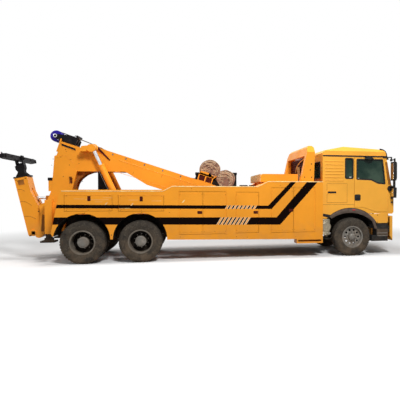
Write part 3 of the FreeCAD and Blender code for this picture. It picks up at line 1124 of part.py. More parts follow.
def make_underlift():
    """Folding arm, the sleeve that slides in it with its head, and the crossbar on its pin."""
    w, d = ARM_HALF_W, ARM_HALF_D
    arm = arm_plate([(ARM_END_S, -129), (-20, -d), (ARM_TOP_S, -d), (ARM_TOP_S, d), (1082, d), (677, 247),
                     (502, 258), (-30, 131), (ARM_END_S, 128)], -w, w)
    gap = SLIDE_GAP
    inner_d, inner_w = d - ARM_WALL - gap - 20, w - ARM_WALL - gap
    arm = arm.cut([arm_block(SLEEVE_REAR_S - 20, ARM_TOP_S + 10, -inner_w - gap, inner_w + gap,
                             -inner_d - gap, inner_d + gap),
                   arm_block(*FOLD_GROOVE_S, -FOLD_GROOVE_Y, FOLD_GROOVE_Y, inner_d + gap + 12, 400),
                   across(FOLD_X, FOLD_Z, -w - 5, w + 5, FOLD_PIN_R + RUNNING_FIT)])
    pocket = arm_block(ARM_TOP_S - 190, ARM_TOP_S - 60, w - 12, w + 5, -90, 60)
    arm = arm.cut([pocket, mirrored(pocket)])
    pads = [arm_block(ARM_TOP_S - 200, ARM_TOP_S - 20, -110, 110, inner_d + SEAT_GAP, inner_d + gap + 5),
            arm_block(ARM_TOP_S - 200, ARM_TOP_S - 20, -110, 110, -inner_d - gap - 5, -inner_d - SEAT_GAP)]
    keep("underlift_arm", joined([arm, *pads]))

    sleeve = arm_block(SLEEVE_REAR_S, HEAD_S, -inner_w, inner_w, -inner_d, inner_d)
    sleeve = sleeve.cut(arm_block(SLEEVE_REAR_S - 5, HEAD_S - 60, -inner_w + 14, inner_w - 14,
                                  -inner_d + 14, inner_d - 14))
    plate = arm_block(ARM_TOP_S + 8, HEAD_S, -w + 10, w - 10, -d - 20, d + 20)
    neck = arm_plate([(HEAD_S - 5, -85), (1640, -75), (1700, -108), (NECK_TOP_S, -108), (NECK_TOP_S, 113),
                      (1700, 110), (1640, 80), (HEAD_S - 5, 90)], -TONGUE_HALF_W, TONGUE_HALF_W)
    tongues = [arm_block(NECK_TOP_S - 5, BAR_S - 108, -30, 30, -75, 90)]
    for way in (1, -1):
        near, far = BAR_N + way * (BAR_HALF_D + TONGUE_GAP), BAR_N + way * (BAR_HALF_D + TONGUE_GAP + TONGUE_T)
        tongues.append(arm_block(NECK_TOP_S - 10, BAR_S + 75, -TONGUE_HALF_W, TONGUE_HALF_W,
                                 min(near, far), max(near, far)))
    end = BAR_HALF_D + TONGUE_GAP + TONGUE_T + 17
    pin = rod(arm_point(BAR_S, BAR_N - end), arm_point(BAR_S, BAR_N + end), BAR_PIN_R)
    keep("underlift_sleeve", joined([sleeve, plate, neck, *tongues, pin]))

    y, h, dd = BAR_HALF_L, BAR_HALF_H, BAR_HALF_D
    outline = [(-y, -h + 15), (-y + 150, -h), (y - 150, -h), (y, -h + 15), (y, h - 15), (y - 150, h),
               (-y + 150, h), (-y, h - 15)]
    points = [arm_point(BAR_S + s, BAR_N - dd, yy) for yy, s in outline]
    bar = Part.Face(wire(points)).extrude(arm_point(0, 2 * dd) - arm_point(0, 0))
    holes = []
    for yy, radius in ((0, BAR_PIN_R + RUNNING_FIT), (FORK_BORE_Y, FORK_BORE_R), (-FORK_BORE_Y, FORK_BORE_R)):
        holes.append(rod(arm_point(BAR_S, BAR_N - dd - 5, yy), arm_point(BAR_S, BAR_N + dd + 5, yy), radius))
    keep("crossbar", bar.cut(holes))


def save():
    """Write each sub-part, moved so that x is counted from the middle of the vehicle."""
    os.makedirs("parts", exist_ok=True)
    for name, shape in made.items():
        piece = shape.translated(V(-ORIGIN_X, 0, 0))
        piece.exportStep(os.path.join("parts", f"{name}.step"))


make_wheels()
make_axles()
make_frame()
make_engine_and_tanks()
make_side_bodies()
make_deck()
make_gantry()
make_tail()
make_cab()
make_cab_fittings()
make_front()
make_boom()
make_boom_inner()
make_winches()
make_cylinders()
make_underlift()
save()
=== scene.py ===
"""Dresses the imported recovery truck: materials, tread, ropes, lamps, latches, trim, light and camera."""
import math
import random

import bmesh
import bpy
from mathutils import Matrix, Vector


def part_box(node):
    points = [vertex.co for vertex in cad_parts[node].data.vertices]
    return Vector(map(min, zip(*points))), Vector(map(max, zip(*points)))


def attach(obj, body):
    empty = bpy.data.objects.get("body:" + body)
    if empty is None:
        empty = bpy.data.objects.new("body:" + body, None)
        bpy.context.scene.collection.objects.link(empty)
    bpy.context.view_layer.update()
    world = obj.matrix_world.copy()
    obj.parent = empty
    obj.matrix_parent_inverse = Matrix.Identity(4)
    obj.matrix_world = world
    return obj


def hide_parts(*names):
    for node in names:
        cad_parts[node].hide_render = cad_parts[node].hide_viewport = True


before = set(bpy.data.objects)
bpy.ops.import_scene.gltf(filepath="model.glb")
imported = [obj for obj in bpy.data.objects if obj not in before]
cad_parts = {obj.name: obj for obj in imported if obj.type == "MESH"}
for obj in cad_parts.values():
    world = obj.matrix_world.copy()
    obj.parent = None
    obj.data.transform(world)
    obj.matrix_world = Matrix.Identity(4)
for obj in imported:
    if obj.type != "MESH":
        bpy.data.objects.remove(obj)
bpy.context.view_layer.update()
ORIGIN_X = 3.1595           # rearmost axle to the origin
SIDES = (("left", 1), ("right", -1))
MATERIALS = {}              # every material by its finish


def at(x, y, z):
    """Point of the row frame from a station counted from the rearmost axle."""
    return Vector((x - ORIGIN_X, y, z))


# ---- node helper for materials ----
class Shader:
    """One material with its principled shader and short calls for its nodes."""

    def __init__(self, name):
        self.material = bpy.data.materials.new(name)
        self.material.use_nodes = True
        MATERIALS[name] = self.material
        self.tree = self.material.node_tree
        self.surface = self.tree.nodes["Principled BSDF"]

    def node(self, kind, **settings):
        made = self.tree.nodes.new(kind)
        for key, value in settings.items():
            setattr(made, key, value)
        return made

    def feed(self, socket, value):
        """Links a socket to another one, or sets its value."""
        if isinstance(value, bpy.types.NodeSocket):
            self.tree.links.new(value, socket)
        elif isinstance(value, tuple) and len(value) == 3 and socket.type == "RGBA":
            socket.default_value = (*value, 1.0)
        else:
            socket.default_value = value

    def maths(self, operation, a, b=0.0):
        made = self.node("ShaderNodeMath", operation=operation)
        self.feed(made.inputs[0], a)
        self.feed(made.inputs[1], b)
        return made.outputs[0]

    def times(self, first, *others):
        for other in others:
            first = self.maths("MULTIPLY", first, other)
        return first

    def less(self, a, b):
        return self.maths("SUBTRACT", a, b)

    def over(self, a, b):
        return self.maths("GREATER_THAN", a, b)

    def most(self, a, b):
        return self.maths("MAXIMUM", a, b)

    def coords(self):
        """Places in the object's own frame, which rides with its body."""
        return self.node("ShaderNodeTexCoord").outputs["Object"]

    def place(self):
        """x, y and z of the surface."""
        split = self.node("ShaderNodeSeparateXYZ")
        self.feed(split.inputs[0], self.coords())
        return split.outputs[0], split.outputs[1], split.outputs[2]

    def noise(self, scale, detail=3.0, stretch=(1.0, 1.0, 1.0)):
        scaled = self.node("ShaderNodeVectorMath", operation="MULTIPLY")
        self.feed(scaled.inputs[0], self.coords())
        scaled.inputs[1].default_value = stretch
        made = self.node("ShaderNodeTexNoise")
        self.feed(made.inputs["Vector"], scaled.outputs[0])
        made.inputs["Scale"].default_value = scale
        made.inputs["Detail"].default_value = detail
        return made.outputs["Fac"]

    def pattern(self, kind, scale, distortion=None, **settings):
        """Wave or brick texture."""
        made = self.node(kind, **settings)
        self.feed(made.inputs["Vector"], self.coords())
        made.inputs["Scale"].default_value = scale
        if distortion is not None:
            made.inputs["Distortion"].default_value = distortion
        return made.outputs["Fac"]

    def fade(self, value, low, high, to_low=0.0, to_high=1.0):
        made = self.node("ShaderNodeMapRange", interpolation_type="SMOOTHSTEP")
        for index, item in enumerate((value, low, high, to_low, to_high)):
            self.feed(made.inputs[index], item)
        return made.outputs[0]

    def mixed(self, factor, a, b):
        made = self.node("ShaderNodeMix", data_type="RGBA")
        self.feed(made.inputs["Factor"], factor)
        self.feed(made.inputs[6], a)
        self.feed(made.inputs[7], b)
        return made.outputs[2]

    def bump(self, height, strength, distance):
        made = self.node("ShaderNodeBump")
        self.feed(made.inputs["Height"], height)
        made.inputs["Strength"].default_value = strength
        made.inputs["Distance"].default_value = distance
        self.feed(self.surface.inputs["Normal"], made.outputs[0])

    def set(self, **values):
        for key, value in values.items():
            self.feed(self.surface.inputs[key.replace("_", " ")], value)
        return self.material


DUST = (0.235, 0.165, 0.105)
BLACK_MARK = (0.005, 0.002, 0.0015)
CREAM = (0.87, 0.66, 0.44)


def toned(colour, factor, lift=0.0):
    """Paler or deeper colour."""
    return tuple(min(1.0, c * factor + lift) for c in colour)


def dusted(s, colour, low, high, amount):
    """Road dust that thins out from height low to height high."""
    height = s.fade(s.place()[2], low, high, 1.0, 0.0)
    return s.mixed(s.times(height, s.fade(s.noise(5.0, 5.0), 0.32, 0.68), amount), colour, DUST)


def beyond(s, x, z, start, end):
    """1 on the left of the line from start to end, seen along +Y with x to the right."""
    (x0, z0), (x1, z1) = start, end
    return s.over(s.times(s.less(z, z0), x1 - x0), s.times(s.less(x, x0), z1 - z0))


# A stripe: low line, top line, rear end x, left and right lines of its rising end, range of its dashes
STRIPES = (
    dict(low=((-0.57, 1.365), (4.62, 1.31)), top=((-0.57, 1.450), (4.62, 1.400)), rear=-0.585,
         left=((4.575, 1.400), (5.195, 2.035)), right=((4.665, 1.310), (5.345, 2.035)), dashes=(3.42, 4.25)),
    dict(low=((-0.67, 0.976), (4.89, 0.896)), top=((-0.67, 1.149), (4.80, 1.090)), rear=-0.72,
         left=((4.800, 1.090), (5.640, 2.035)), right=((4.900, 0.896), (5.935, 2.035)), dashes=(3.21, 4.03)),
)
DASH_COUNT, DASH_LEAN, STRIPE_MIN_Y = 8, 0.62, 1.238


def striped(s, colour):
    """Two dark stripes along the side that rise at the front, broken by slanted dashes."""
    x, y, z = s.place()
    x = s.maths("ADD", x, ORIGIN_X)
    outside = s.over(s.maths("ABSOLUTE", y), STRIPE_MIN_Y)
    covered = None
    for stripe in STRIPES:
        above = beyond(s, x, z, *stripe["low"])
        level = s.times(s.less(1.0, beyond(s, x, z, *stripe["top"])), s.over(x, stripe["rear"]))
        rising = s.less(1.0, beyond(s, x, z, *stripe["left"]))
        band = s.times(outside, above, beyond(s, x, z, *stripe["right"]), s.most(level, rising))
        start, end = stripe["dashes"]
        low_z = stripe["low"][0][1] - 0.04
        leaned = s.less(x, s.times(s.less(z, low_z), DASH_LEAN))
        turn = s.times(s.less(leaned, start), DASH_COUNT / (end - start))
        dashed = s.times(s.over(turn, 0.0), s.maths("LESS_THAN", turn, DASH_COUNT))
        off_middle = s.maths("ABSOLUTE", s.less(s.maths("FRACT", turn), 0.5))
        colour = s.mixed(s.times(band, dashed, s.over(off_middle, 0.16)), colour, CREAM)
        solid = s.times(band, s.most(s.less(1.0, dashed), s.over(off_middle, 0.30)))
        colour = s.mixed(solid, colour, BLACK_MARK)
        covered = solid if covered is None else s.most(covered, solid)
    return colour, covered


def paint(name, colour, marks=None, dust=0.35):
    """Gloss paint with slow colour drift, faint orange peel and dust low down."""
    s = Shader(name)
    deep = toned(colour, 0.84)
    base = s.mixed(s.fade(s.noise(0.9, 4.0), 0.3, 0.75), colour, deep)
    base = s.mixed(s.times(s.fade(s.noise(14.0, 6.0, (1.0, 1.0, 0.25)), 0.58, 0.8), 0.25), base, deep)
    base = dusted(s, base, 0.45, 1.25, dust)
    shine = 0.20
    if marks:
        base, covered = marks(s, base)
        shine = s.less(shine, s.times(covered, 0.19))
    s.bump(s.noise(140.0, 2.0), 0.04, 0.002)
    return s.set(Base_Color=base, Roughness=s.fade(s.noise(3.0, 4.0), 0.2, 0.8, 0.34, 0.50),
                 Specular_IOR_Level=shine, Coat_Weight=0.02, Coat_Roughness=0.10)


def steel(name, colour, rough=0.55, metal=0.0, dust=0.45, grain=60.0, shine=0.16):
    """Painted or bare steel with mottled grime."""
    s = Shader(name)
    base = s.mixed(s.fade(s.noise(7.0, 6.0), 0.45, 0.8), colour, toned(colour, 1.7, 0.01))
    base = dusted(s, base, 0.3, 1.3, dust)
    s.bump(s.noise(grain, 5.0), 0.12, 0.003)
    return s.set(Base_Color=base, Roughness=s.fade(s.noise(9.0, 4.0), 0.2, 0.8, rough - 0.12, rough + 0.12),
                 Metallic=metal, Specular_IOR_Level=shine)


def rubber(name):
    """Dusty tyre rubber with a fine grain."""
    s = Shader(name)
    base = s.mixed(s.fade(s.noise(11.0, 6.0), 0.3, 0.75), (0.023, 0.019, 0.015), (0.044, 0.036, 0.027))
    speckle = s.times(s.fade(s.noise(38.0, 6.0), 0.52, 0.72), 0.55)
    base = dusted(s, s.mixed(speckle, base, (0.125, 0.105, 0.080)), 0.0, 1.2, 0.38)
    s.bump(s.noise(90.0, 6.0), 0.25, 0.004)
    return s.set(Base_Color=base, Roughness=0.85, Specular_IOR_Level=0.25)


def polished(name):
    """Bright metal, brushed a little along its length."""
    s = Shader(name)
    s.bump(s.noise(220.0, 2.0, (1.0, 1.0, 0.2)), 0.03, 0.001)
    base = s.mixed(s.fade(s.noise(12.0, 4.0), 0.4, 0.7), (0.72, 0.73, 0.75), (0.55, 0.54, 0.53))
    return s.set(Base_Color=base, Metallic=1.0, Roughness=0.16)


def pane(name):
    """Tinted glass with uneven depth."""
    s = Shader(name)
    tint = s.mixed(s.fade(s.noise(2.2, 4.0), 0.35, 0.7), (0.010, 0.030, 0.022), (0.05, 0.085, 0.06))
    return s.set(Base_Color=tint, Roughness=0.05, Alpha=0.95, Specular_IOR_Level=0.14)


def plastic(name, colour, rough=0.5):
    """Moulded plastic with a fine grain and a little dust."""
    s = Shader(name)
    s.bump(s.noise(260.0, 3.0), 0.15, 0.001)
    base = s.mixed(s.fade(s.noise(8.0, 4.0), 0.4, 0.8), colour, toned(colour, 1.6, 0.01))
    return s.set(Base_Color=dusted(s, base, 0.3, 1.2, 0.12), Roughness=rough, Specular_IOR_Level=0.14)


def lens(name, colour):
    """Ribbed lamp lens."""
    s = Shader(name)
    s.bump(s.pattern("ShaderNodeTexWave", 28.0, wave_type="BANDS", bands_direction="Z"), 0.35, 0.004)
    return s.set(Base_Color=s.mixed(s.noise(20.0), colour, toned(colour, 0.7)), Roughness=0.12,
                 Coat_Weight=0.5)


def fibre(name, colour, turns=55.0):
    """Laid rope with its strands as a slanting wave."""
    s = Shader(name)
    strands = s.pattern("ShaderNodeTexWave", turns, 1.5, wave_type="BANDS", bands_direction="DIAGONAL")
    s.bump(strands, 0.5, 0.004)
    base = s.mixed(s.times(s.noise(26.0, 5.0), strands), toned(colour, 0.45), colour)
    return s.set(Base_Color=base, Roughness=0.8)


def cloth(name, colour):
    """Woven seat cloth."""
    s = Shader(name)
    s.bump(s.pattern("ShaderNodeTexBrick", 320.0), 0.3, 0.001)
    return s.set(Base_Color=s.mixed(s.noise(30.0, 4.0), colour, toned(colour, 1.8)), Roughness=0.9,
                 Sheen_Weight=0.2)


# ---- finishes ----
ORANGE = (0.915, 0.345, 0.022)
CAB_ORANGE = (0.935, 0.435, 0.052)
paint("body_paint", ORANGE, dust=0.30)
paint("striped_paint", ORANGE, marks=striped, dust=0.16)
paint("cab_paint", CAB_ORANGE, dust=0.14)
steel("black_steel", (0.007, 0.006, 0.007), shine=0.08)
steel("grey_steel", (0.13, 0.12, 0.11), 0.5)
steel("rear_rim", (0.13, 0.115, 0.095), 0.6, dust=0.3)
steel("silver_rim", (0.175, 0.165, 0.148), 0.45, 0.30, dust=0.35)
steel("silencer", (0.27, 0.235, 0.17), 0.42, 0.6, dust=0.3)
steel("cast", (0.010, 0.008, 0.007), 0.75, grain=35.0, shine=0.08)
steel("dark_red", (0.060, 0.007, 0.004), 0.5, dust=0.05, shine=0.1)
steel("shade_brown", (0.26, 0.095, 0.014), 0.6, dust=0.1)
# Pale tan for real scuffs and a pale hose, also used for the painted highlight on the bodies' top edge and
# the painted shade on the deck locker's end
steel("scuff", (0.80, 0.52, 0.24), 0.6, dust=0.0)
# Near-black painted shade for the dishes of the rear rims and the wheel wells of the side bodies
steel("well_and_dish_shade", (0.012, 0.009, 0.007), 0.7, dust=0.06, shine=0.06)
rubber("tyre_rubber")
polished("polished_rod")
pane("tinted_glass")
plastic("black_plastic", (0.014, 0.014, 0.014))
plastic("guard_plastic", (0.082, 0.060, 0.048), 0.55)
plastic("trim_grey", (0.07, 0.05, 0.035), 0.45)
plastic("blue_nylon", (0.022, 0.012, 0.26), 0.35)
lens("white_lens", (0.75, 0.74, 0.70))
lens("amber_lens", (0.75, 0.24, 0.02))
lens("red_lens", (0.45, 0.010, 0.008))
fibre("rope", (0.88, 0.64, 0.42))
fibre("worn_rope", (0.40, 0.21, 0.14))
fibre("wire_rope", (0.20, 0.18, 0.15), 140.0)
cloth("seat_fabric", (0.055, 0.052, 0.055))
# Finish of each CAD node by its name, then by the start of its name; the others are body_paint
NODE_FINISH = {
    "axles": "cast", "chassis_frame": "black_steel", "engine_block": "cast", "chassis_tanks": "grey_steel",
    "lamps": "white_lens", "mudguards_and_steps": "black_plastic", "front_bumper": "cab_paint",
    "cab_shell": "cab_paint", "cab_roof": "cab_paint", "cab_glass": "tinted_glass",
    "cab_interior": "seat_fabric", "cab_fittings": "black_plastic", "lift_rods": "polished_rod",
    "fold_rod": "polished_rod", "underlift_sleeve": "black_steel", "crossbar": "black_steel",
    "rear_jacks": "black_steel",
}
NAME_STARTS = {
    "tyre_": "tyre_rubber", "rim_front": "silver_rim", "rim_": "rear_rim", "knuckle": "cast",
    "door_glass": "tinted_glass", "cab_door": "cab_paint", "body_": "striped_paint", "lid_": "striped_paint",
    "door_a": "striped_paint", "door_b": "striped_paint", "door_c": "striped_paint",
}
# The part's surface slot listed for each finish; ropes and the silencer have none
SLOTS = {"body_paint": "body_paint", "scuff": "body_paint", "shade_brown": "body_paint",
         "dark_red": "body_paint", "cab_paint": "cab_paint", "black_steel": "black_steel",
         "grey_steel": "grey_steel", "cast": "cast", "silver_rim": "silver_rim", "polished_rod": "chrome",
         "tyre_rubber": "tyre", "black_plastic": "black_plastic", "guard_plastic": "black_plastic",
         "trim_grey": "black_plastic", "blue_nylon": "black_plastic", "white_lens": "lamp",
         "amber_lens": "lamp", "red_lens": "lamp", }


def finish_of(node):
    """Name of the finish that a CAD node wears."""
    for start, finish in NAME_STARTS.items():
        if node.startswith(start):
            return finish
    return NODE_FINISH.get(node, "body_paint")


for node_name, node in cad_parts.items():
    slots = node.data.materials
    if not slots:
        slots.append(None)
    for index in range(len(slots)):
        slots[index] = MATERIALS[finish_of(node_name)]


# ---- mesh helpers ----
def bridge(bm, rings, closed=False, capped=False):
    """Skin over rings of places: closed joins the last ring to the first, capped fills the two ends."""
    rings = [[bm.verts.new(place) for place in ring] for ring in rings]
    pairs = list(zip(rings, rings[1:]))
    if closed:
        pairs.append((rings[-1], rings[0]))
    for low, high in pairs:
        for k in range(len(low)):
            n = (k + 1) % len(low)
            bm.faces.new((low[k], low[n], high[n], high[k]))
    if capped:
        bm.faces.new(rings[0][::-1])
        bm.faces.new(rings[-1])


def angles(count, start=0.0, step=None):
    """Angles in radians from a start and a step in degrees, which is a whole turn's share if not given."""
    return [math.radians(start + (step or 360 / count) * k) for k in range(count)]


def swung(x, z, radius, angle):
    """Place on a circle in x and z, or in any other two axes."""
    return x + radius * math.cos(angle), z + radius * math.sin(angle)


def add_box(bm, low, high, turn=None):
    """Box between two corners, turned about its middle by a matrix."""
    low, high = Vector(low), Vector(high)
    size = Matrix.Diagonal((*(high - low), 1.0))
    place = Matrix.Translation((low + high) / 2) @ (turn.to_4x4() if turn else Matrix())
    bmesh.ops.create_cube(bm, size=1.0, matrix=place @ size)


def add_block(bm, x, y, z, half_y):
    """Box over the stations x and the heights z, half_y to both sides of y."""
    add_box(bm, at(x[0], y - half_y, z[0]), at(x[1], y + half_y, z[1]))


def add_rod(bm, start, end, radius, sides=20):
    """Round bar between two points."""
    start, end = Vector(start), Vector(end)
    way = end - start
    place = Matrix.Translation((start + end) / 2) @ way.to_track_quat("Z", "Y").to_matrix().to_4x4()
    bmesh.ops.create_cone(bm, cap_ends=True, segments=sides, radius1=radius, radius2=radius,
                          depth=way.length, matrix=place)


def add_bolt(bm, place, way, size):
    """Hexagon head on a washer."""
    place, way = Vector(place), Vector(way).normalized()
    add_rod(bm, place - way * 0.001, place + way * size * 0.25, size * 1.45, 16)
    add_rod(bm, place, place + way * size, size, 6)


def add_prism(bm, outline, y0, y1):
    """Plate with an outline in x and z, from y0 to y1."""
    bridge(bm, [[(x, y, z) for x, z in outline] for y in (y0, y1)], capped=True)


def add_lathe(bm, profile, centre, way, sides, closed=True):
    """Profile of radius and place along an axis, turned round it."""
    turn = Vector(way).to_track_quat("Z", "Y").to_matrix()
    bridge(bm, [[Vector(centre) + turn @ Vector((*swung(0.0, 0.0, radius, a), along)) for a in angles(sides)]
                for radius, along in profile], closed)


def add_cap(bm, profile, centre, sign, sides):
    """Round cap on a side of the truck: sign is 1 on its left and -1 on its right."""
    add_lathe(bm, profile, centre, (0, sign, 0), sides, closed=False)


def add_tube(bm, points, radius, sides=8, closed=False):
    """Round tube that follows a line of points."""
    points = [Vector(p) for p in points]
    count = len(points)
    rings = []
    side = None
    for k, point in enumerate(points):
        ahead = points[(k + 1) % count] if closed or k + 1 < count else point
        behind = points[k - 1] if closed or k else point
        way = (ahead - behind).normalized()
        if side is None:
            side = way.orthogonal().normalized()
        side = (side - way * side.dot(way)).normalized()
        up = way.cross(side)
        rings.append([point + radius * (side * math.cos(a) + up * math.sin(a)) for a in angles(sides)])
    bridge(bm, rings, closed, capped=not closed)


def add_loop(bm, outline, y, out, width, rise):
    """Raised rim of a given width inside an outline in x and z, or outside it where the width is negative."""
    middle = Vector((sum(p[0] for p in outline), sum(p[1] for p in outline))) / len(outline)
    inner = []
    for k, point in enumerate(outline):
        before, here, after = Vector(outline[k - 1]), Vector(point), Vector(outline[(k + 1) % len(outline)])
        normals = []
        for a, b in ((before, here), (here, after)):
            normal = Vector((-(b - a).y, (b - a).x)).normalized()
            normals.append(normal if normal.dot(middle - a) > 0 else -normal)
        lean = (normals[0] + normals[1]).normalized()
        inner.append(here + lean * width / max(0.3, lean.dot(normals[0])))
    top = y + out * rise
    bridge(bm, [[(p[0], yy, p[1]) for p in ring]
                for ring, yy in ((outline, y), (outline, top), (inner, top), (inner, y))], closed=True)


def rounded(outline, radius, steps=4):
    """Outline in x and z with its corners rounded."""
    made = []
    count = len(outline)
    for k, point in enumerate(outline):
        here = Vector(point)
        before, after = Vector(outline[k - 1]), Vector(outline[(k + 1) % count])
        reach = min(radius, (before - here).length / 2.1, (after - here).length / 2.1)
        start, end = here + (before - here).normalized() * reach, here + (after - here).normalized() * reach
        for i in range(steps + 1):
            f = i / steps
            made.append(tuple(start * (1 - f) ** 2 + here * 2 * f * (1 - f) + end * f ** 2))
    return made


def stations(points, radius=None):
    """Outline of stations and heights turned into x and z of the row frame, with rounded corners if asked."""
    outline = [(x - ORIGIN_X, z) for x, z in points]
    return rounded(outline, radius) if radius else outline


def oblong(x, z):
    """Four corners of an oblong from its two ranges."""
    return [(x[0], z[0]), (x[1], z[0]), (x[1], z[1]), (x[0], z[1])]


def add_panel(bm, points, sign, near, far, radius=None):
    """Plate on one side of the truck, from near to far off its middle, with an outline of stations."""
    add_prism(bm, stations(points, radius), sign * near, sign * far)


def add_seal(bm, points, y, out, width, rise, radius):
    """Raised rim along an outline of stations with rounded corners."""
    add_loop(bm, stations(points, radius), y, out, width, rise)


def add_chequer(bm, x, y, step, columns, half_x, half_y, z):
    """Three rows of raised dashes that lean to and fro; step is their spacing along x and y."""
    for row in range(3):
        for column in range(columns):
            xx, yy = x + column * step[0], y + row * step[1]
            turn = Matrix.Rotation(math.radians(45 if (row + column) % 2 else -45), 3, "Z")
            add_box(bm, at(xx - half_x, yy - half_y, z[0]), at(xx + half_x, yy + half_y, z[1]), turn)


def piece(bm, name, body, finish, bevel=0.0, slot=None):
    """Turns a bmesh into a shown piece that rides on a body, in the material of its finish; slot is not used.
    """
    bmesh.ops.recalc_face_normals(bm, faces=bm.faces)
    mesh = bpy.data.meshes.new(name)
    bm.to_mesh(mesh)
    bm.free()
    mesh.materials.append(MATERIALS[finish])
    mesh.shade_smooth()
    mesh.set_sharp_from_angle(angle=math.radians(35))
    made = bpy.data.objects.new(name, mesh)
    bpy.context.scene.collection.objects.link(made)
    if bevel:
        edge = made.modifiers.new("edge", "BEVEL")
        edge.width, edge.segments, edge.limit_method = bevel, 2, "ANGLE"
        edge.angle_limit = math.radians(40)
        edge.harden_normals = True
    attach(made, body)
    slot = slot or SLOTS.get(finish)
    return made


def pieces(body, *rows):
    """Several pieces that ride on one body: each row holds what piece takes, without the body."""
    for bm, name, finish, *rest in rows:
        piece(bm, name, body, finish, *rest)


def meshes(count):
    """Several empty meshes."""
    return [bmesh.new() for _ in range(count)]


def path(where, *points):
    """Line of points for a tube, each given in the frame where."""
    return [where(*point) for point in points]


def tint_faces(node_name, test, finish):
    """Gives the faces of a CAD node whose middle passes the test another finish."""
    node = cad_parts[node_name]
    node.data.materials.append(MATERIALS[finish])
    index = len(node.data.materials) - 1
    for face in node.data.polygons:
        if test(face.center):
            face.material_index = index


# ---- wheels ----
TYRE_R = 0.525
SIDEWALL = ((0.287, 0.1495), (0.303, 0.1500), (0.318, 0.1535), (0.345, 0.1570), (0.385, 0.1575),
            (0.425, 0.1560), (0.462, 0.1500), (0.488, 0.1400), (0.497, 0.1330), (0.507, 0.128))
TREAD_ROOT, SHOULDER_DROP = 0.507, 0.004
TREAD_ROWS = ((-0.130, -0.082), (-0.074, -0.030), (-0.022, 0.022), (0.030, 0.074), (0.082, 0.130))
# place, station, middles of its tyres, tread blocks round one, share of its step that a shoulder block fills
WHEELS = (("front", 6.950, (1.050,), 60, 0.78), ("drive", 1.350, (0.725, 1.070), 46, 0.62),
          ("rear", 0.0, (0.725, 1.070), 46, 0.62))


def add_tyre(bm, x, y, lugs, shoulder):
    """Carcass with bulging walls, and tread blocks round it."""
    profile = [(r, -w) for r, w in SIDEWALL] + [(r, w) for r, w in reversed(SIDEWALL)]
    add_lathe(bm, profile, at(x, y, TYRE_R), (0, 1, 0), 84)
    step = 2 * math.pi / lugs
    for k in range(lugs):
        for index, (y0, y1) in enumerate(TREAD_ROWS):
            outer, odd = index in (0, 4), index % 2
            a0 = step * (k + (0.0 if odd else 0.35))
            a1 = a0 + step * (shoulder if outer else 0.93)
            skew = 0.0 if outer else step * (0.25 if odd else -0.25)
            rings = []
            for radius, trim in ((TREAD_ROOT - 0.012, 0.0), (TYRE_R - 0.0005, 0.004)):
                ring = []
                for a, yy in ((a0, y0 + trim), (a1, y0 + trim), (a1 + skew, y1 - trim),
                              (a0 + skew, y1 - trim)):
                    worn = SHOULDER_DROP if outer and trim and abs(yy) > 0.12 else 0.0
                    xx, zz = swung(x, TYRE_R, radius - worn, a)
                    ring.append(at(xx, y + yy, zz))
                rings.append(ring)
            bridge(bm, rings, capped=True)


def add_nuts(bm, x, y, out, circle, count, size):
    """Ring of hexagonal nuts with their studs on a wheel's disc."""
    for k in range(count):
        xx, zz = swung(x, TYRE_R, circle, 2 * math.pi * (k + 0.5) / count)
        add_rod(bm, at(xx, y, zz), at(xx, y + out * 0.024, zz), size, 6)
        add_rod(bm, at(xx, y, zz), at(xx, y + out * 0.040, zz), size * 0.5, 10)


def wheel_reach(point, x):
    """Distance of a face's middle from the axle at station x."""
    return math.hypot(point.x + ORIGIN_X - x, point.z - TYRE_R)


def make_wheels():
    """Treaded tyres in place of the plain ones, hub caps, wheel nuts and painted shade on the dishes of the
    rear rims.
    """
    for side, sign in SIDES:
        for place, x, tyre_ys, lugs, shoulder in WHEELS:
            body = f"wheel_front_{side}" if place == "front" else f"wheels_{place}_{side}"
            bm, hub = meshes(2)
            for y in tyre_ys:
                add_tyre(bm, x, sign * y, lugs, shoulder)
            tread = piece(bm, f"tread_{place}_{side}", body, "tyre_rubber")
            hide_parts(f"tyre_{place}_{side}")
            if place == "front":
                add_nuts(hub, x, sign * 1.140, sign, 0.142, 10, 0.017)
                add_cap(hub, ((0.0, 0.0), (0.088, 0.0), (0.088, 0.012), (0.060, 0.030), (0.052, 0.044),
                              (0.0, 0.046)), at(x, sign * 1.189, TYRE_R), sign, 32)
            else:
                add_nuts(hub, x, sign * 0.924, sign, 0.170, 10, 0.017)
                add_cap(hub, ((0.0, 0.0), (0.132, 0.0), (0.130, 0.010), (0.104, 0.016), (0.098, 0.026),
                              (0.0, 0.030)), at(x, sign * 1.140, TYRE_R), sign, 32)
                add_nuts(hub, x, sign * 1.150, sign, 0.084, 8, 0.008)
                # The dish of each rear rim is painted near black as painted shade
                tint_faces(f"rim_{place}_{side}", lambda p, x=x: 0.150 < wheel_reach(p, x) < 0.232,
                           "well_and_dish_shade")
            piece(hub, f"hub_{place}_{side}", body, "silver_rim")


make_wheels()


# ---- boom and arm frames, and bars that lie in them ----
BOOM_TILT, ARM_TILT = math.radians(17.9), math.radians(12.5)
BOOM_PIVOT, ARM_PIN = (2.950, 1.720), (-1.390, 0.700)


def boom_at(s, t, y=0.0):
    """Point s along the boom from its pivot and t above its axis."""
    return at(BOOM_PIVOT[0] - s * math.cos(BOOM_TILT) + t * math.sin(BOOM_TILT), y,
              BOOM_PIVOT[1] + s * math.sin(BOOM_TILT) + t * math.cos(BOOM_TILT))


def arm_at(s, n, y=0.0):
    """Point s up the folded arm from its pin and n in front of its axis."""
    return at(ARM_PIN[0] - s * math.sin(ARM_TILT) + n * math.cos(ARM_TILT), y,
              ARM_PIN[1] + s * math.cos(ARM_TILT) + n * math.sin(ARM_TILT))


def flat(x, z, y=0.0):
    """The truck's own frame, for add_plate and add_bar."""
    return at(x, y, z)


def framed(where, outline):
    """Outline in the frame where, turned into x and z."""
    return [(where(a, b).x, where(a, b).z) for a, b in outline]


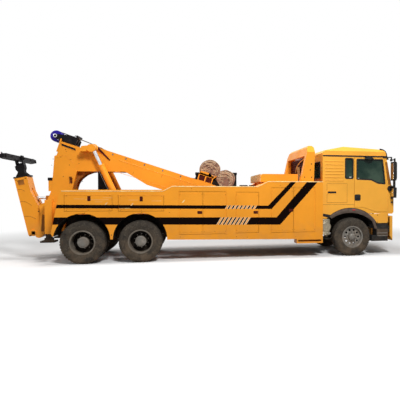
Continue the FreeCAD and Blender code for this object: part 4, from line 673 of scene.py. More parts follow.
def add_plate(bm, where, outline, y0, y1):
    """Plate with an outline in the frame where, from y0 to y1."""
    add_prism(bm, framed(where, outline), y0, y1)


def add_bar(bm, where, first, second, y0, y1):
    """Bar along a member: where is its frame, first and second its two ranges there."""
    add_plate(bm, where, oblong(first, second), y0, y1)


def in_boom(point):
    """s and t of a point of the row frame."""
    x, z = point.x + ORIGIN_X - BOOM_PIVOT[0], point.z - BOOM_PIVOT[1]
    return (-x * math.cos(BOOM_TILT) + z * math.sin(BOOM_TILT),
            x * math.sin(BOOM_TILT) + z * math.cos(BOOM_TILT))


# ---- side bodies ----
SKIN_Y, DOOR_Y = 1.247, 1.250
DECAL = 0.0008          # thickness of a scuff
LATCHES = (("lid_rear", 0.164, 1.598, True), ("lid_front", 1.376, 1.586, True),
           ("door_a_rear", 2.803, 1.237, False), ("door_b", 4.245, 1.228, False),
           ("door_c_rear", 5.197, 1.274, False))
DOORS = ("lid_rear", "lid_front", "door_a_rear", "door_a_front", "door_b", "door_c_rear", "door_c_front")
TOP_EDGE = ((-0.452, 1.780), (1.895, 1.780), (2.115, 1.900), (4.305, 1.900), (4.575, 2.035), (6.080, 2.035))
SCRAPES = ((-0.17, 0.06, 1.585), (0.08, 0.62, 1.565), (0.30, 0.47, 1.512), (0.48, 0.70, 1.612),
           (1.08, 1.30, 1.555), (1.62, 1.86, 1.530), (0.86, 1.12, 1.352))
SLITS = ((-0.52, 1.12, 0.05), (-0.545, 1.02, 0.05), (-0.37, 0.74, 0.03), (0.675, 0.70, 0.03))
BODY_RIVETS = ((0.06, 1.245), (0.62, 1.245), (1.38, 1.245), (2.05, 1.245), (2.32, 1.32), (2.32, 0.62),
               (3.74, 0.60), (4.02, 0.58), (5.32, 0.56), (2.60, 1.84), (4.9, 1.94), (5.6, 1.94))


def in_well(point):
    """Whether a face of the side body lies in the well above the rear wheels, which takes painted shade."""
    x = point.x + ORIGIN_X
    reach = min(math.hypot(x - axle, point.z - 0.595) for axle in (0.0, 1.350))
    return abs(point.y) < SKIN_Y - 0.002 and reach < 0.66


def make_latches():
    """Recessed paddle latches, and the small rivets at the corners of each door."""
    for side, sign in SIDES:
        for name, x, z, upright in LATCHES:
            half_x, half_z = (0.036, 0.060) if upright else (0.060, 0.036)
            x -= ORIGIN_X
            ring = rounded(oblong((x - half_x, x + half_x), (z - half_z, z + half_z)), 0.014)
            bm = bmesh.new()
            add_loop(bm, ring, sign * (DOOR_Y - 0.001), sign, 0.008, 0.006)
            add_prism(bm, [(x + (px - x) * 0.9, z + (pz - z) * 0.9) for px, pz in ring],
                      sign * (DOOR_Y - 0.001), sign * (DOOR_Y + 0.001))
            paddle = Vector((half_x * 0.62, 0.003, half_z * 0.70))
            middle = Vector((x, sign * (DOOR_Y + 0.007), z))
            add_box(bm, middle - paddle, middle + paddle)
            add_rod(bm, (x, sign * DOOR_Y, z), (x, sign * (DOOR_Y + 0.013), z), 0.009)
            piece(bm, f"latch_{name}_{side}", f"{name}_{side}", "dark_red", 0.0015, "black_plastic")
        for name in DOORS:
            low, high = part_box(f"{name}_{side}")
            bm = bmesh.new()
            for fx, fz in ((0.045, 0.055), (0.955, 0.055), (0.045, 0.93), (0.955, 0.93), (0.5, 0.055)):
                place = (low[0] + fx * (high[0] - low[0]), sign * DOOR_Y, low[2] + fz * (high[2] - low[2]))
                add_cap(bm, ((0.0, 0.0035), (0.004, 0.003), (0.0065, 0.0)), place, sign, 12)
            piece(bm, f"rivets_{name}_{side}", f"{name}_{side}", "black_steel")


def make_body_trim():
    """Painted shade in the wheel wells, scuffs, a painted highlight along the top edge, slits and rivets in
    the skin, and the step's tread.
    """
    for side, sign in SIDES:
        # Faces in the wheel wells are painted near black as painted shade
        tint_faces(f"body_{side}", in_well, "well_and_dish_shade")
        scuffs, edge, dark, tread = meshes(4)
        for x0, x1, z in SCRAPES:
            add_panel(scuffs, oblong((x0, x1), (z, z + 0.005)), sign, DOOR_Y, DOOR_Y + DECAL)
        for x, z in ((0.52, 1.44), (1.12, 1.42), (2.36, 1.49)):
            chip = ((x, z), (x + 0.03, z), (x + 0.075, z + 0.06), (x + 0.05, z + 0.06))
            add_panel(scuffs, chip, sign, DOOR_Y, DOOR_Y + DECAL)
        # The tube along the body's top edge wears pale tan as a painted highlight
        add_tube(edge, [at(x, sign * (SKIN_Y - 0.006), z - 0.005) for x, z in TOP_EDGE], 0.012, 10)
        for x, z, long in SLITS:
            add_block(dark, (x - 0.008, x + 0.008), sign * (SKIN_Y + 0.0005), (z - long / 2, z + long / 2),
                      0.001)
        for x, z in BODY_RIVETS:
            add_cap(dark, ((0.0, 0.0035), (0.005, 0.003), (0.008, 0.0)), at(x, sign * SKIN_Y, z), sign, 12)
        add_chequer(tread, 5.385, sign * (SKIN_Y - 0.050), (0.031, -sign * 0.05), 22, 0.012, 0.0035,
                    (0.4295, 0.4325))
        pieces("chassis", (scuffs, f"scuffs_{side}", "scuff"), (edge, f"rolled_edge_{side}", "scuff"),
               (dark, f"tail_slots_{side}", "black_steel"),
               (tread, f"step_chequer_{side}", "grey_steel", 0.001))


make_latches()
make_body_trim()


# ---- boom ----
BOOM_Y, RIB_T = 0.300, 0.163
# Outline of the slot near the boom's head, which a black sheet fills as painted shade
WINDOW_SLOT = ((-0.717, 3.030), (-0.349, 2.893), (-0.352, 2.826), (-0.700, 2.956))
LUG_BRACE = ((0.115, 2.945), (0.190, 2.958), (0.500, 2.606), (0.474, 2.585))
# Outline of a painted shadow under the lug that holds the lift cylinder's rod
LUG_SHADOW = ((-0.07, 2.850), (0.10, 2.880), (0.10, 2.750), (0.03, 2.740))
BOOM_HOLES = ((-0.90, 2.61), (-0.935, 2.45), (-0.60, 2.86), (-0.51, 2.46), (-0.28, 2.50), (-0.66, 2.16),
              (-0.33, 2.05))
# frame, then the two ranges of a dark chip in the boom's paint
CHIPS = ((flat, (-0.60, -0.56), (2.800, 2.806)), (flat, (-0.74, -0.70), (2.66, 2.666)),
         (flat, (-0.50, -0.46), (2.60, 2.606)), (boom_at, (1.22, 1.226), (0.06, 0.16)),
         (boom_at, (1.95, 1.954), (-0.10, -0.03)))
# ranges of x and z, and how far the red guard over the fold pin stands out
GUARD_BARS = (((-0.520, -0.450), (2.139, 2.151), 0.03), ((-0.505, -0.435), (2.099, 2.111), 0.03),
              ((-0.500, -0.482), (1.99, 2.12), 0.028), ((-0.462, -0.444), (1.99, 2.12), 0.028))


def weld(bm, points, size=0.004):
    """Bead of weld along a line of corners."""
    for start, end in zip(points, points[1:]):
        start, end = Vector(start), Vector(end)
        count = max(2, int((end - start).length / 0.012))
        add_tube(bm, [start.lerp(end, k / count) for k in range(count + 1)], size, 6)


def make_boom_trim():
    """Rims, welds, chips and holes of the boom's sides, a black sheet as painted shade in the slot near the
    head, its red braces with a painted shadow under the lug, and the strips and pipes on top.
    """
    welds, dark, red, edge, pipes = meshes(5)
    for sign in (1, -1):
        out = sign * BOOM_Y
        # A black sheet fills the slot as painted shade
        add_panel(dark, WINDOW_SLOT, sign, BOOM_Y, BOOM_Y + 0.0015)
        add_loop(welds, stations(WINDOW_SLOT), out, sign, 0.007, 0.006)
        for t in (RIB_T - 0.004, -RIB_T + 0.004):
            weld(welds, [boom_at(s, t, out) for s in (0.2, 1.3, 2.4)], 0.005)
        weld(welds, [at(-0.42, out, 2.30), at(-0.20, out, 2.72), boom_at(3.35, 0.05, out)])
        weld(welds, [at(-0.86, out, 2.64), at(-0.62, out, 2.72), at(-0.40, out, 2.50)])
        for x, z in BOOM_HOLES:
            add_cap(dark, ((0.0, 0.003), (0.007, 0.0025), (0.010, 0.0)), at(x, out, z), sign, 14)
        for where, first, second in CHIPS:
            add_bar(dark, where, first, second, out, out + sign * 0.001)
        add_bar(welds, boom_at, (2.86, 3.42), (-0.062, -0.044), out, out + sign * 0.012)
        add_panel(red, LUG_BRACE, sign, BOOM_Y, BOOM_Y + 0.012)
        # Dark red sheet as a painted shadow under the lug
        add_panel(red, LUG_SHADOW, sign, BOOM_Y, BOOM_Y + 0.002)
        for x, z, reach in GUARD_BARS:
            add_bar(red, flat, x, z, out, out + sign * reach)
        for s0, s1 in ((0.70, 0.86), (1.62, 1.70), (2.30, 2.42)):
            add_bar(edge, boom_at, (s0, s1), (RIB_T, RIB_T + 0.010), out - sign * 0.035, out - sign * 0.004)
        add_bar(edge, boom_at, (0.25, 3.10), (RIB_T, RIB_T + 0.008), out - sign * 0.012, out - sign * 0.002)
        y = sign * 0.250
        add_tube(pipes, path(boom_at, (0.50, 0.200, y), (0.62, 0.262, y), (2.66, 0.262, y),
                             (2.74, 0.220, y)), 0.008)
        for s in (0.75, 1.25, 1.75, 2.25, 2.60):
            add_bar(pipes, boom_at, (s - 0.018, s + 0.018), (0.225, 0.274), sign * 0.238, sign * 0.262)
    pieces("boom", (welds, "boom_welds", "body_paint"), (dark, "boom_marks", "black_steel"),
           (red, "boom_braces", "dark_red", 0.002), (edge, "boom_top_edge", "body_paint", 0.002),
           (pipes, "boom_top_pipes", "grey_steel"))


def make_tail_trim():
    """Shaded gussets on the boom's leg, painted shade in the recess over the fold pin, and pin heads with
    their bolts.
    """
    tint_faces("boom", lambda p: 2.052 < p.z < 2.14 and abs(p.x + ORIGIN_X + 0.970) < 0.07, "black_steel")
    shaded, dark, heads = meshes(3)
    for sign in (1, -1):
        corner = [(-0.335, 2.300), (-0.455, 1.800)]
        corner += [(0.160 - 0.570 * math.cos(a), 1.780 + 0.520 * math.sin(a)) for a in angles(6, 5, 17)]
        add_panel(shaded, corner, sign, 0.150, 0.162)
        # Thin brown sheet as painted shade in the recess over the fold pin
        add_panel(shaded, ((-1.200, 0.740), (-1.125, 0.740), (-1.000, 1.140), (-1.170, 1.180)), sign, BOOM_Y,
                  BOOM_Y + 0.0015)
        for (x, z), r, reach in ((ARM_PIN, 0.075, 0.263), (BOOM_PIVOT, 0.085, 0.363)):
            place = at(x, sign * reach, z)
            add_cap(heads, ((0.0, 0.0), (r, 0.0), (r, 0.008), (r - 0.004, 0.012), (0.0, 0.012)), place,
                    sign, 32)
            for a in angles(4, 45):
                xx, zz = swung(0.0, 0.0, r * 0.62, a)
                add_bolt(dark, place + Vector((xx, sign * 0.012, zz)), (0, sign, 0), 0.009)
    pieces("boom", (shaded, "leg_gussets", "shade_brown"), (dark, "pin_bolts", "black_steel"),
           (heads, "pin_heads", "body_paint"))


# ---- head of the boom, winches and their ropes ----
SHEAVE, SHEAVE_Y, SHEAVE_R = (4.093, 0.260), 0.1025, 0.150
FLANGE = ((0.110, 0.0255), (0.122, 0.0265), (0.146, 0.0265), (0.1495, 0.0245), (0.147, 0.022), (0.110, 0.022))
ROPE_R = 0.009


def on_sheave(point):
    """Whether a face of the inner boom belongs to a sheave."""
    return abs(abs(point.y) - SHEAVE_Y) < 0.027 and math.dist(in_boom(point), SHEAVE) < SHEAVE_R + 0.002


def on_bracket(point):
    """Whether a face of the inner boom belongs to the brackets that carry the sheaves."""
    return in_boom(point)[1] > RIB_T + 0.002 and not on_sheave(point)


def make_head():
    """Nylon sheaves between black cheeks, with pin caps, a guide roller and the shackles under them."""
    tint_faces("boom_inner", on_bracket, "black_steel")
    tint_faces("boom_inner", on_sheave, "blue_nylon")
    blue, black, bright = meshes(3)
    for sign in (1, -1):
        for face in (1, -1):
            add_lathe(blue, FLANGE, boom_at(*SHEAVE, sign * SHEAVE_Y), (0, face, 0), 40)
        add_lathe(bright, ((0.030, 0.0), (0.048, 0.0), (0.048, 0.014), (0.030, 0.016)),
                  boom_at(*SHEAVE, sign * 0.238), (0, sign, 0), 24)
        for s, t, y, size in ((*SHEAVE, 0.240, 0.018), (3.66, 0.30, 0.230, 0.012), (3.88, 0.24, 0.230, 0.012),
                              (3.62, 0.21, 0.230, 0.012)):
            add_bolt(black, boom_at(s, t, sign * y), (0, sign, 0), size)
        add_tube(black, path(boom_at, (3.60, 0.345, sign * 0.20), (3.59, 0.40, sign * 0.20),
                             (3.62, 0.425, sign * 0.17), (3.66, 0.41, sign * 0.15)), 0.012)
        add_bar(black, boom_at, (3.565, 3.605), (0.36, 0.43), sign * 0.192, sign * 0.208)
        y = sign * 0.10
        add_tube(bright, [boom_at(3.98 + 0.035 * math.cos(a), 0.195 + 0.030 * math.sin(a), y)
                          for a in angles(16)], 0.008, closed=True)
        add_tube(bright, path(boom_at, (3.90, 0.186, y), (3.84, 0.181, y + 0.02), (3.78, 0.186, y)), 0.009)
        add_rod(bright, boom_at(4.03, 0.185, y - 0.03), boom_at(4.03, 0.185, y + 0.03), 0.012, 12)
    add_rod(black, boom_at(3.585, 0.412, -0.215), boom_at(3.585, 0.412, 0.215), 0.030, 24)
    pieces("boom_inner", (blue, "sheave_flanges", "blue_nylon"),
           (black, "head_fittings", "black_steel", 0.0015), (bright, "head_shackles", "polished_rod"))


# s, t and radius of a drum's rope, seed of its strands, slack turns on it
WINCHES = ((0.05, 0.6858, 0.235, 5, 26), (-0.435, 0.5543, 0.225, 8, 14))
COIL_HALF_W, WRAP_R = 0.222, 0.0105
WINCH_Y = 0.2597            # outer face of the winches
WINCH_BOLTS = ((-0.10, 0.285), (0.09, 0.285), (0.28, 0.285), (-0.10, 0.50), (0.09, 0.50), (0.28, 0.50),
               (-0.43, 0.30), (-0.54, 0.30), (-0.43, 0.57), (-0.54, 0.57), (0.0, 0.60), (0.0, 0.70))


def coil(strands, middle, radius, seed, loops):
    """Layer of turns on a drum under slack turns, with strands that cross both of its ends."""
    rng = random.Random(seed)

    def round_drum(r, y, a):
        return middle + Vector((r * math.cos(a), y, r * math.sin(a)))

    turns = int(2 * COIL_HALF_W / (2 * WRAP_R + 0.0008))
    line = []
    for k in range(turns * 36 + 1):
        a = 2 * math.pi * k / 36
        line.append(round_drum(radius + WRAP_R + 0.0015 * math.sin(a * 3.1),
                               -COIL_HALF_W + 2 * COIL_HALF_W * k / (turns * 36), a))
    add_tube(strands[0], line, WRAP_R, 7)
    for k in range(loops):
        lean, shift = rng.uniform(-0.18, 0.18), rng.uniform(-0.10, 0.10)
        start, lift = rng.uniform(0, 2 * math.pi), rng.uniform(0.022, 0.034)
        push = rng.uniform(0.0, 0.045) if k % 2 else 0.0
        loop = []
        for a in angles(44):
            y = shift + lean * math.sin(a + start) + 0.012 * math.sin(3 * a + start)
            r = radius + lift + 0.004 * math.sin(2 * a + start * 3) + push * max(0.0, math.cos(a - 0.35)) ** 2
            loop.append(round_drum(r, max(-0.215, min(0.215, y)), a))
        add_tube(rng.choice(strands), loop, WRAP_R * 0.95, 7, closed=True)
    for face in (1, -1):
        spiral = []
        for k in range(8 * 30 + 1):
            a = 2 * math.pi * k / 30
            r = 0.012 + (radius - 0.016) * k / (8 * 30) + 0.003 * math.sin(a * 2.3)
            spiral.append(round_drum(r, face * (0.236 + 0.003 * math.sin(a * 1.7)), a))
        add_tube(strands[1], spiral, WRAP_R * 1.1, 7)
        for _ in range(30):
            tilt, off = rng.uniform(-0.9, 0.45), rng.uniform(-0.88, 0.88) * radius
            half, bow = math.sqrt(radius ** 2 - off ** 2) * 1.02, rng.uniform(-0.06, 0.09)
            strand = []
            for k in range(9):
                f = k / 4 - 1
                across, up = half * f, off + bow * (1 - f * f)
                strand.append(middle + Vector((across * math.cos(tilt) - up * math.sin(tilt),
                                               face * (0.240 + 0.009 * (1 - f * f)),
                                               across * math.sin(tilt) + up * math.cos(tilt))))
            add_tube(rng.choice(strands), strand, WRAP_R * 0.9, 6)


def in_drum_plate(point):
    """Whether a face of the winches belongs to a plate that carries a drum above the windows."""
    s, t = in_boom(point)
    return t > 0.59 or (s < -0.38 and t > 0.30)


def make_winches():
    """Rope on both drums, dark red plates behind the windows as painted shade, the windows' rims, painted
    shade on the frame's lower faces, rollers, bolts, motors and hoses.
    """
    # The winches' lower inner faces are painted dark red as painted shade
    tint_faces("winches", lambda p: in_boom(p)[1] < 0.272 and abs(p.y) < 0.25, "dark_red")
    tint_faces("winches", in_drum_plate, "worn_rope")
    rope, worn, back, dark, trim = meshes(5)
    for strands, (s, t, radius, seed, loops) in zip(((rope, worn), (worn, rope)), WINCHES):
        coil(strands, boom_at(s, t), radius, seed, loops)
    for sign in (1, -1):
        out = sign * WINCH_Y
        # Dark red plates behind the windows as painted shade in them
        add_bar(back, boom_at, (-0.105, 0.285), (0.262, 0.480), sign * 0.226, sign * 0.234)
        add_plate(trim, boom_at, ((-0.125, 0.470), (0.295, 0.470), (0.270, 0.575), (0.02, 0.585),
                                  (-0.150, 0.520)), out, sign * 0.2530)
        for s in ((-0.090, 0.075), (0.110, 0.270)):
            add_loop(trim, framed(boom_at, oblong(s, (0.320, 0.470))), out, sign, -0.010, 0.004)
        for s, t in WINCH_BOLTS:
            add_bolt(dark, boom_at(s, t, out), (0, sign, 0), 0.010)
        add_bar(dark, boom_at, (0.30, 0.36), (0.245, 0.385), sign * 0.219, sign * 0.237)
    for t in (0.305, 0.355):
        add_rod(dark, boom_at(0.33, t, -0.22), boom_at(0.33, t, 0.22), 0.020)
    add_bar(dark, boom_at, (-0.40, -0.14), (0.272, 0.42), -0.235, -0.05)
    add_bar(dark, boom_at, (-0.40, -0.14), (0.272, 0.40), 0.02, 0.235)
    for y, t in ((-0.16, 0.44), (-0.12, 0.43), (0.06, 0.42), (0.14, 0.43)):
        add_tube(dark, path(boom_at, (-0.20, 0.40, y), (-0.21, t + 0.02, y), (-0.26, t + 0.04, y * 0.9),
                            (-0.34, t, y * 0.7), (-0.42, 0.33, y * 0.6), (-0.50, 0.285, y * 0.6)), 0.011)
    pieces("boom", (rope, "winch_ropes", "rope"), (worn, "winch_ropes_worn", "worn_rope"),
           (back, "winch_backs", "dark_red"), (dark, "winch_fittings", "cast", 0.0015),
           (trim, "winch_window_rims", "body_paint"))


def make_lines():
    """Two wire lines that run from the front drum along the boom's top and over the sheaves."""
    on_boom, on_head = meshes(2)
    for sign in (1, -1):
        y = sign * SHEAVE_Y
        add_tube(on_boom, path(boom_at, (0.05, 0.4398, sign * 0.08), (0.33, 0.33, y * 0.9), (0.60, 0.28, y),
                               (1.60, 0.279, y), (2.60, 0.279, y), (3.30, 0.36, y)), ROPE_R)
        over = [boom_at(*swung(*SHEAVE, 0.137, a), y) for a in angles(9, 95, -22)]
        add_tube(on_head, [boom_at(3.30, 0.3600, y), boom_at(3.75, 0.386, y), *over,
                           boom_at(3.98, 0.182, y)], ROPE_R)
    piece(on_boom, "wire_lines", "boom", "wire_rope")
    piece(on_head, "wire_lines_head", "boom_inner", "wire_rope")


make_boom_trim()
make_tail_trim()
make_head()
make_winches()
make_lines()


# ---- underlift and lift cylinders ----
ARM_Y = 0.210               # outer face of the folded arm
CROSSBAR_S = 1.960
POCKET = oblong((1.273, 1.403), (-0.09, 0.06))
CYLINDER_Y, CYLINDER_FOOT, CYLINDER_TIP = 0.470, (0.810, 1.300), (0.100, 2.890)


def make_arm_trim():
    """Bent seams in painted shade, welds, the pocket near the head with painted shade on its floor, and pin
    caps on the folded arm.
    """
    welds, dark, seams = meshes(3)
    for sign in (1, -1):
        out = sign * ARM_Y
        for s0, s1, n0, n1, bulge in ((1.17, 1.10, -0.145, 0.02, 0.03), (0.86, 0.70, -0.145, 0.10, 0.05),
                                      (0.46, 0.34, -0.14, 0.12, 0.04)):
            line = []
            for f in (k / 14 for k in range(15)):
                bent = bulge * math.sin(math.pi * f)
                line.append(arm_at(s0 + (s1 - s0) * f + bent, n0 + (n1 - n0) * f, out))
            add_tube(seams, line, 0.0045, 6)
        weld(welds, [arm_at(1.45, -0.147, out), arm_at(0.0, -0.147, out)])
        weld(welds, path(arm_at, (1.45, 0.147, out), (1.082, 0.147, out), (0.68, 0.243, out),
                         (0.50, 0.253, out), (-0.02, 0.130, out)))
        add_loop(welds, framed(arm_at, POCKET), out, sign, -0.008, 0.004)
        # Brown sheet on the pocket's floor as painted shade
        add_bar(seams, arm_at, (1.275, 1.401), (-0.088, 0.058), sign * 0.1985, sign * 0.1995)
        for s, n in ((0.02, -0.06), (0.06, 0.085), (1.42, -0.11), (1.42, 0.11), (0.52, 0.22)):
            add_cap(dark, ((0.0, 0.006), (0.010, 0.005), (0.014, 0.0)), arm_at(s, n, out), sign, 16)
        add_bar(dark, arm_at, (-0.060, -0.046), (-0.125, 0.125), out - sign * 0.002, out + sign * 0.006)
    pieces("underlift_arm", (welds, "arm_welds", "body_paint"), (dark, "arm_fittings", "black_steel"),
           (seams, "arm_seams", "shade_brown"))


def make_crossbar_trim():
    """Bolts and gussets of the underlift's head, and the rings, bolts, bands and handles of its crossbar."""
    head, bar = meshes(2)
    add_bolt(head, arm_at(CROSSBAR_S, 0.125), arm_at(CROSSBAR_S, 1.125) - arm_at(CROSSBAR_S, 0.125), 0.020)
    for sign in (1, -1):
        for n in (-0.15, 0.15):
            for y in (sign * 0.07, sign * 0.175):
                place = arm_at(1.500, n, y)
                add_bolt(head, place, arm_at(1.6, n, y) - place, 0.012)
        for n in (-0.045, 0.045):
            for s in (1.60, 1.745):
                add_bolt(head, arm_at(s, n, sign * 0.080), (0, sign, 0), 0.012)
        add_plate(head, arm_at, ((1.505, -0.15), (1.620, -0.060), (1.620, 0.060), (1.505, 0.15)),
                  sign * 0.092, sign * 0.104)
        for n, way in ((0.070, 1), (-0.040, -1)):
            ring, bolt = arm_at(CROSSBAR_S, n, sign * 0.985), arm_at(CROSSBAR_S, n, sign * 0.62)
            forward = arm_at(CROSSBAR_S, n + way * 0.01, sign * 0.62) - bolt
            add_lathe(bar, ((0.0285, 0.0), (0.048, 0.0), (0.048, 0.006), (0.0285, 0.006)), ring, forward, 28)
            add_bolt(bar, bolt, forward, 0.014)
        for y0, y1 in ((0.10, 0.16), (0.90, 0.915)):
            add_bar(bar, arm_at, (2.018, 2.026), (-0.035, 0.065), sign * y0, sign * y1)
        add_tube(bar, path(arm_at, (2.018, 0.015, sign), (2.045, 0.015, sign), (2.045, 0.015, sign * 1.05),
                           (2.012, 0.015, sign * 1.05)), 0.008)
    piece(head, "underlift_head_fittings", "underlift_sleeve", "cast", 0.0015)
    piece(bar, "crossbar_fittings", "crossbar", "cast", 0.0015)


def make_cylinder_trim():
    """Glands, end rings, unions and hard pipes of the lift cylinders."""
    rings, pipes = meshes(2)
    for sign in (1, -1):
        foot = at(CYLINDER_FOOT[0], sign * CYLINDER_Y, CYLINDER_FOOT[1])
        way = (at(CYLINDER_TIP[0], sign * CYLINDER_Y, CYLINDER_TIP[1]) - foot).normalized()
        side = way.cross(Vector((0, 1, 0))).normalized()
        for along, r, thick in ((1.235, 0.086, 0.035), (1.10, 0.084, 0.012), (0.16, 0.084, 0.02)):
            add_rod(rings, foot + way * along, foot + way * (along + thick), r, 36)
        for along in (0.22, 1.13):
            add_rod(pipes, foot + way * along + side * 0.075, foot + way * along + side * 0.115, 0.013, 12)
        add_tube(pipes, [foot + way * along + side * off for along, off in
                         ((0.22, 0.105), (0.30, 0.108), (1.05, 0.108), (1.13, 0.105))], 0.008)
    piece(rings, "lift_glands", "lift_barrels", "body_paint", 0.002)
    piece(pipes, "lift_pipes", "lift_barrels", "grey_steel")


make_arm_trim()
make_crossbar_trim()
make_cylinder_trim()


# ---- cab ----
CAB_Y = 1.120
GUARD_X, GUARD_Z = 6.9186, 0.3543       # centre of the front mudguard's arc
WINDOW = ((7.104, 2.112), (7.538, 2.098), (7.725, 2.006), (7.960, 1.985), (7.880, 2.672), (7.104, 2.672))
QUARTER = oblong((6.768, 7.000), (2.130, 2.690))
DOOR_CUP = oblong((7.045, 7.217), (1.520, 1.693))


def make_windows():
    """Black rubber seals round every pane, a strip under the door's glass, and small labels on two panes."""
    for side, sign in SIDES:
        door, quarter = meshes(2)
        for bm, outline, width, near_r, far_r in ((door, WINDOW, 0.026, 0.03, 0.05),
                                                  (quarter, QUARTER, 0.024, 0.04, 0.06)):
            add_seal(bm, outline, sign * (CAB_Y - 0.021), sign, -0.012, 0.0225, near_r)
            add_seal(bm, outline, sign * (CAB_Y - 0.001), sign, width, 0.004, far_r)
        add_tube(door, [at(x, sign * (CAB_Y - 0.018), z) for x, z in
                        ((7.115, 2.112), (7.54, 2.100), (7.73, 2.009), (7.95, 1.990))], 0.012)
        piece(door, f"door_seal_{side}", f"cab_door_{side}", "black_plastic")
        for name, body, x, z in (("quarter", "cab", (6.895, 6.955), (2.160, 2.185)),
                                 ("door", f"cab_door_{side}", (7.135, 7.185), (2.128, 2.152))):
            label = bmesh.new()
            add_block(label, x, sign * (CAB_Y - 0.0185), z, 0.001)
            piece(label, f"{name}_label_{side}", body, "white_lens")
        piece(quarter, f"quarter_seal_{side}", "cab", "black_plastic")
    bm = bmesh.new()
    for y in ((-0.90, -0.30), (0.30, 0.90)):
        ring = oblong(y, (2.15, 2.60))
        for k in range(4):
            add_rod(bm, at(6.112, *ring[k]), at(6.112, *ring[(k + 1) % 4]), 0.016, 10)
    piece(bm, "rear_window_seals", "cab", "black_plastic")


def in_cab_well(point):
    """Whether a face of the cab shell looks into the front wheel's well or down at the chassis, where shade
    is painted.
    """
    reach = math.hypot(point.x + ORIGIN_X - GUARD_X, point.z - GUARD_Z)
    return abs(point.y) < CAB_Y - 0.003 and (reach < 0.985 or point.z < 1.20)


def in_door_cup(point):
    """Whether a face of the cab door belongs to its handle or the cup behind it."""
    return 7.04 < point.x + ORIGIN_X < 7.22 and 1.51 < point.z < 1.70 and abs(point.y) > 1.04


def make_cab_sides():
    """Pressed ribs, the sleeper's locker and vent, shut lines, the creases and handles of the doors, and
    painted shade in the front wheel's well and under the cab.
    """
    # Faces in the front wheel's well and under the cab are painted near black as painted shade
    tint_faces("cab_shell", in_cab_well, "cast")
    for side, sign in SIDES:
        ribs, lines, creases, handle = meshes(4)
        y = sign * CAB_Y
        base = y - sign * 0.001
        add_panel(lines, ((6.120, 1.170), (6.300, 1.140), (6.430, 1.100), (6.390, 1.035), (6.120, 1.095)),
                  sign, CAB_Y - 0.001, CAB_Y + 0.005)
        for z in (2.075 + 0.088 * k for k in range(7)):
            low, high = y - sign * 0.004, y + sign * 0.001
            add_tube(ribs, path(at, (6.18, low, z), (6.20, high, z), (6.70, high, z), (6.72, low, z)), 0.012)
        add_seal(lines, oblong((6.236, 6.825), (1.464, 2.001)), base, sign, 0.005, 0.0016, 0.02)
        add_seal(ribs, oblong((6.246, 6.815), (1.474, 1.991)), base, sign, 0.010, 0.004, 0.02)
        add_seal(ribs, oblong((6.235, 6.530), (1.700, 1.800)), base, sign, 0.006, 0.004, 0.02)
        add_panel(lines, oblong((6.259, 6.507), (1.725, 1.775)), sign, CAB_Y - 0.001, CAB_Y + 0.003, 0.015)
        for z in (1.735, 1.750, 1.765):
            add_panel(lines, oblong((6.27, 6.495), (z, z + 0.004)), sign, CAB_Y, CAB_Y + 0.007)
        for bm, x, z, near, far in (
                (lines, (6.120, 7.030), (1.412, 1.417), -0.001, 0.0016),
                (lines, (6.117, 7.985), (2.731, 2.774), -0.004, 0.0012),
                (ribs, (6.825, 7.03), (1.715, 1.722), -0.001, 0.003),
                (creases, (7.10, 8.0), (1.86, 1.866), -0.001, 0.0022),
                (creases, (7.75, 8.0), (1.30, 1.306), -0.001, 0.0022)):
            add_panel(bm, oblong(x, z), sign, CAB_Y + near, CAB_Y + far)
        tint_faces(f"cab_door_{side}", in_door_cup, "black_plastic")
        add_panel(handle, DOOR_CUP, sign, CAB_Y - 0.030, CAB_Y + 0.002, 0.035)
        add_seal(handle, DOOR_CUP, base, sign, 0.016, 0.008, 0.035)
        add_block(handle, (7.065, 7.185), y + sign * 0.012, (1.585, 1.632), 0.007)
        add_cap(handle, ((0.0, 0.0), (0.014, 0.0), (0.014, 0.006), (0.0, 0.007)), at(7.200, y, 1.560),
                sign, 18)
        pieces("cab", (ribs, f"cab_ribs_{side}", "cab_paint"),
               (lines, f"cab_shut_lines_{side}", "black_plastic"))
        pieces(f"cab_door_{side}", (creases, f"door_creases_{side}", "cab_paint"),
               (handle, f"door_handle_{side}", "black_plastic", 0.002))


def make_roof():
    """Roof gutters, pressed channels, marker lamps and the visor's stays."""
    ribs, amber, black = meshes(3)
    for sign in (1, -1):
        y = sign * (CAB_Y - 0.008)
        add_tube(ribs, path(at, (6.125, y, 2.772), (7.985, y, 2.772)), 0.007)
    for y in (0.22 * k for k in range(-3, 4)):
        add_tube(ribs, path(at, (6.80, y, 3.016), (6.84, y, 3.023), (7.76, y, 2.967), (7.80, y, 2.960)),
                 0.012)
    for y in (-0.80, -0.30, 0.0, 0.30, 0.80):
        add_box(amber, at(7.885, y - 0.055, 2.918), at(7.945, y + 0.055, 2.945),
                Matrix.Rotation(math.radians(38), 3, "Y"))
    for y in (-1.06, 1.06):
        add_tube(black, path(at, (7.82, y, 2.972), (7.92, y, 2.950), (7.985, y, 2.905), (8.020, y, 2.84),
                             (8.040, y, 2.74)), 0.016, 10)
    for y in (-0.9, -0.3, 0.3, 0.9):
        add_tube(black, path(at, (7.94, y, 2.90), (8.02, y, 2.86), (8.035, y, 2.79)), 0.010)
    pieces("cab", (ribs, "roof_ribs", "cab_paint"), (amber, "roof_markers", "amber_lens", 0.006),
           (black, "visor_stays", "black_plastic"))


# ---- mirrors, front and steps ----
MIRROR_X0, MIRROR_X1 = 8.102, 8.197
# low and top z, half depth, middle y of a mirror's housing
HOUSINGS = ((2.10, 2.585, 0.030, 1.255), (1.615, 1.885, 0.026, 1.258))
MIRROR_JOINTS = ((8.085, 1.880, 0.055), (8.06, 1.845, 0.040), (8.115, 1.840, 0.045), (8.09, 1.80, 0.03))


def squared(angle):
    """Sine of an angle on a circle that is drawn out towards a square."""
    return abs(math.sin(angle)) ** 0.7 * math.copysign(1, math.sin(angle))


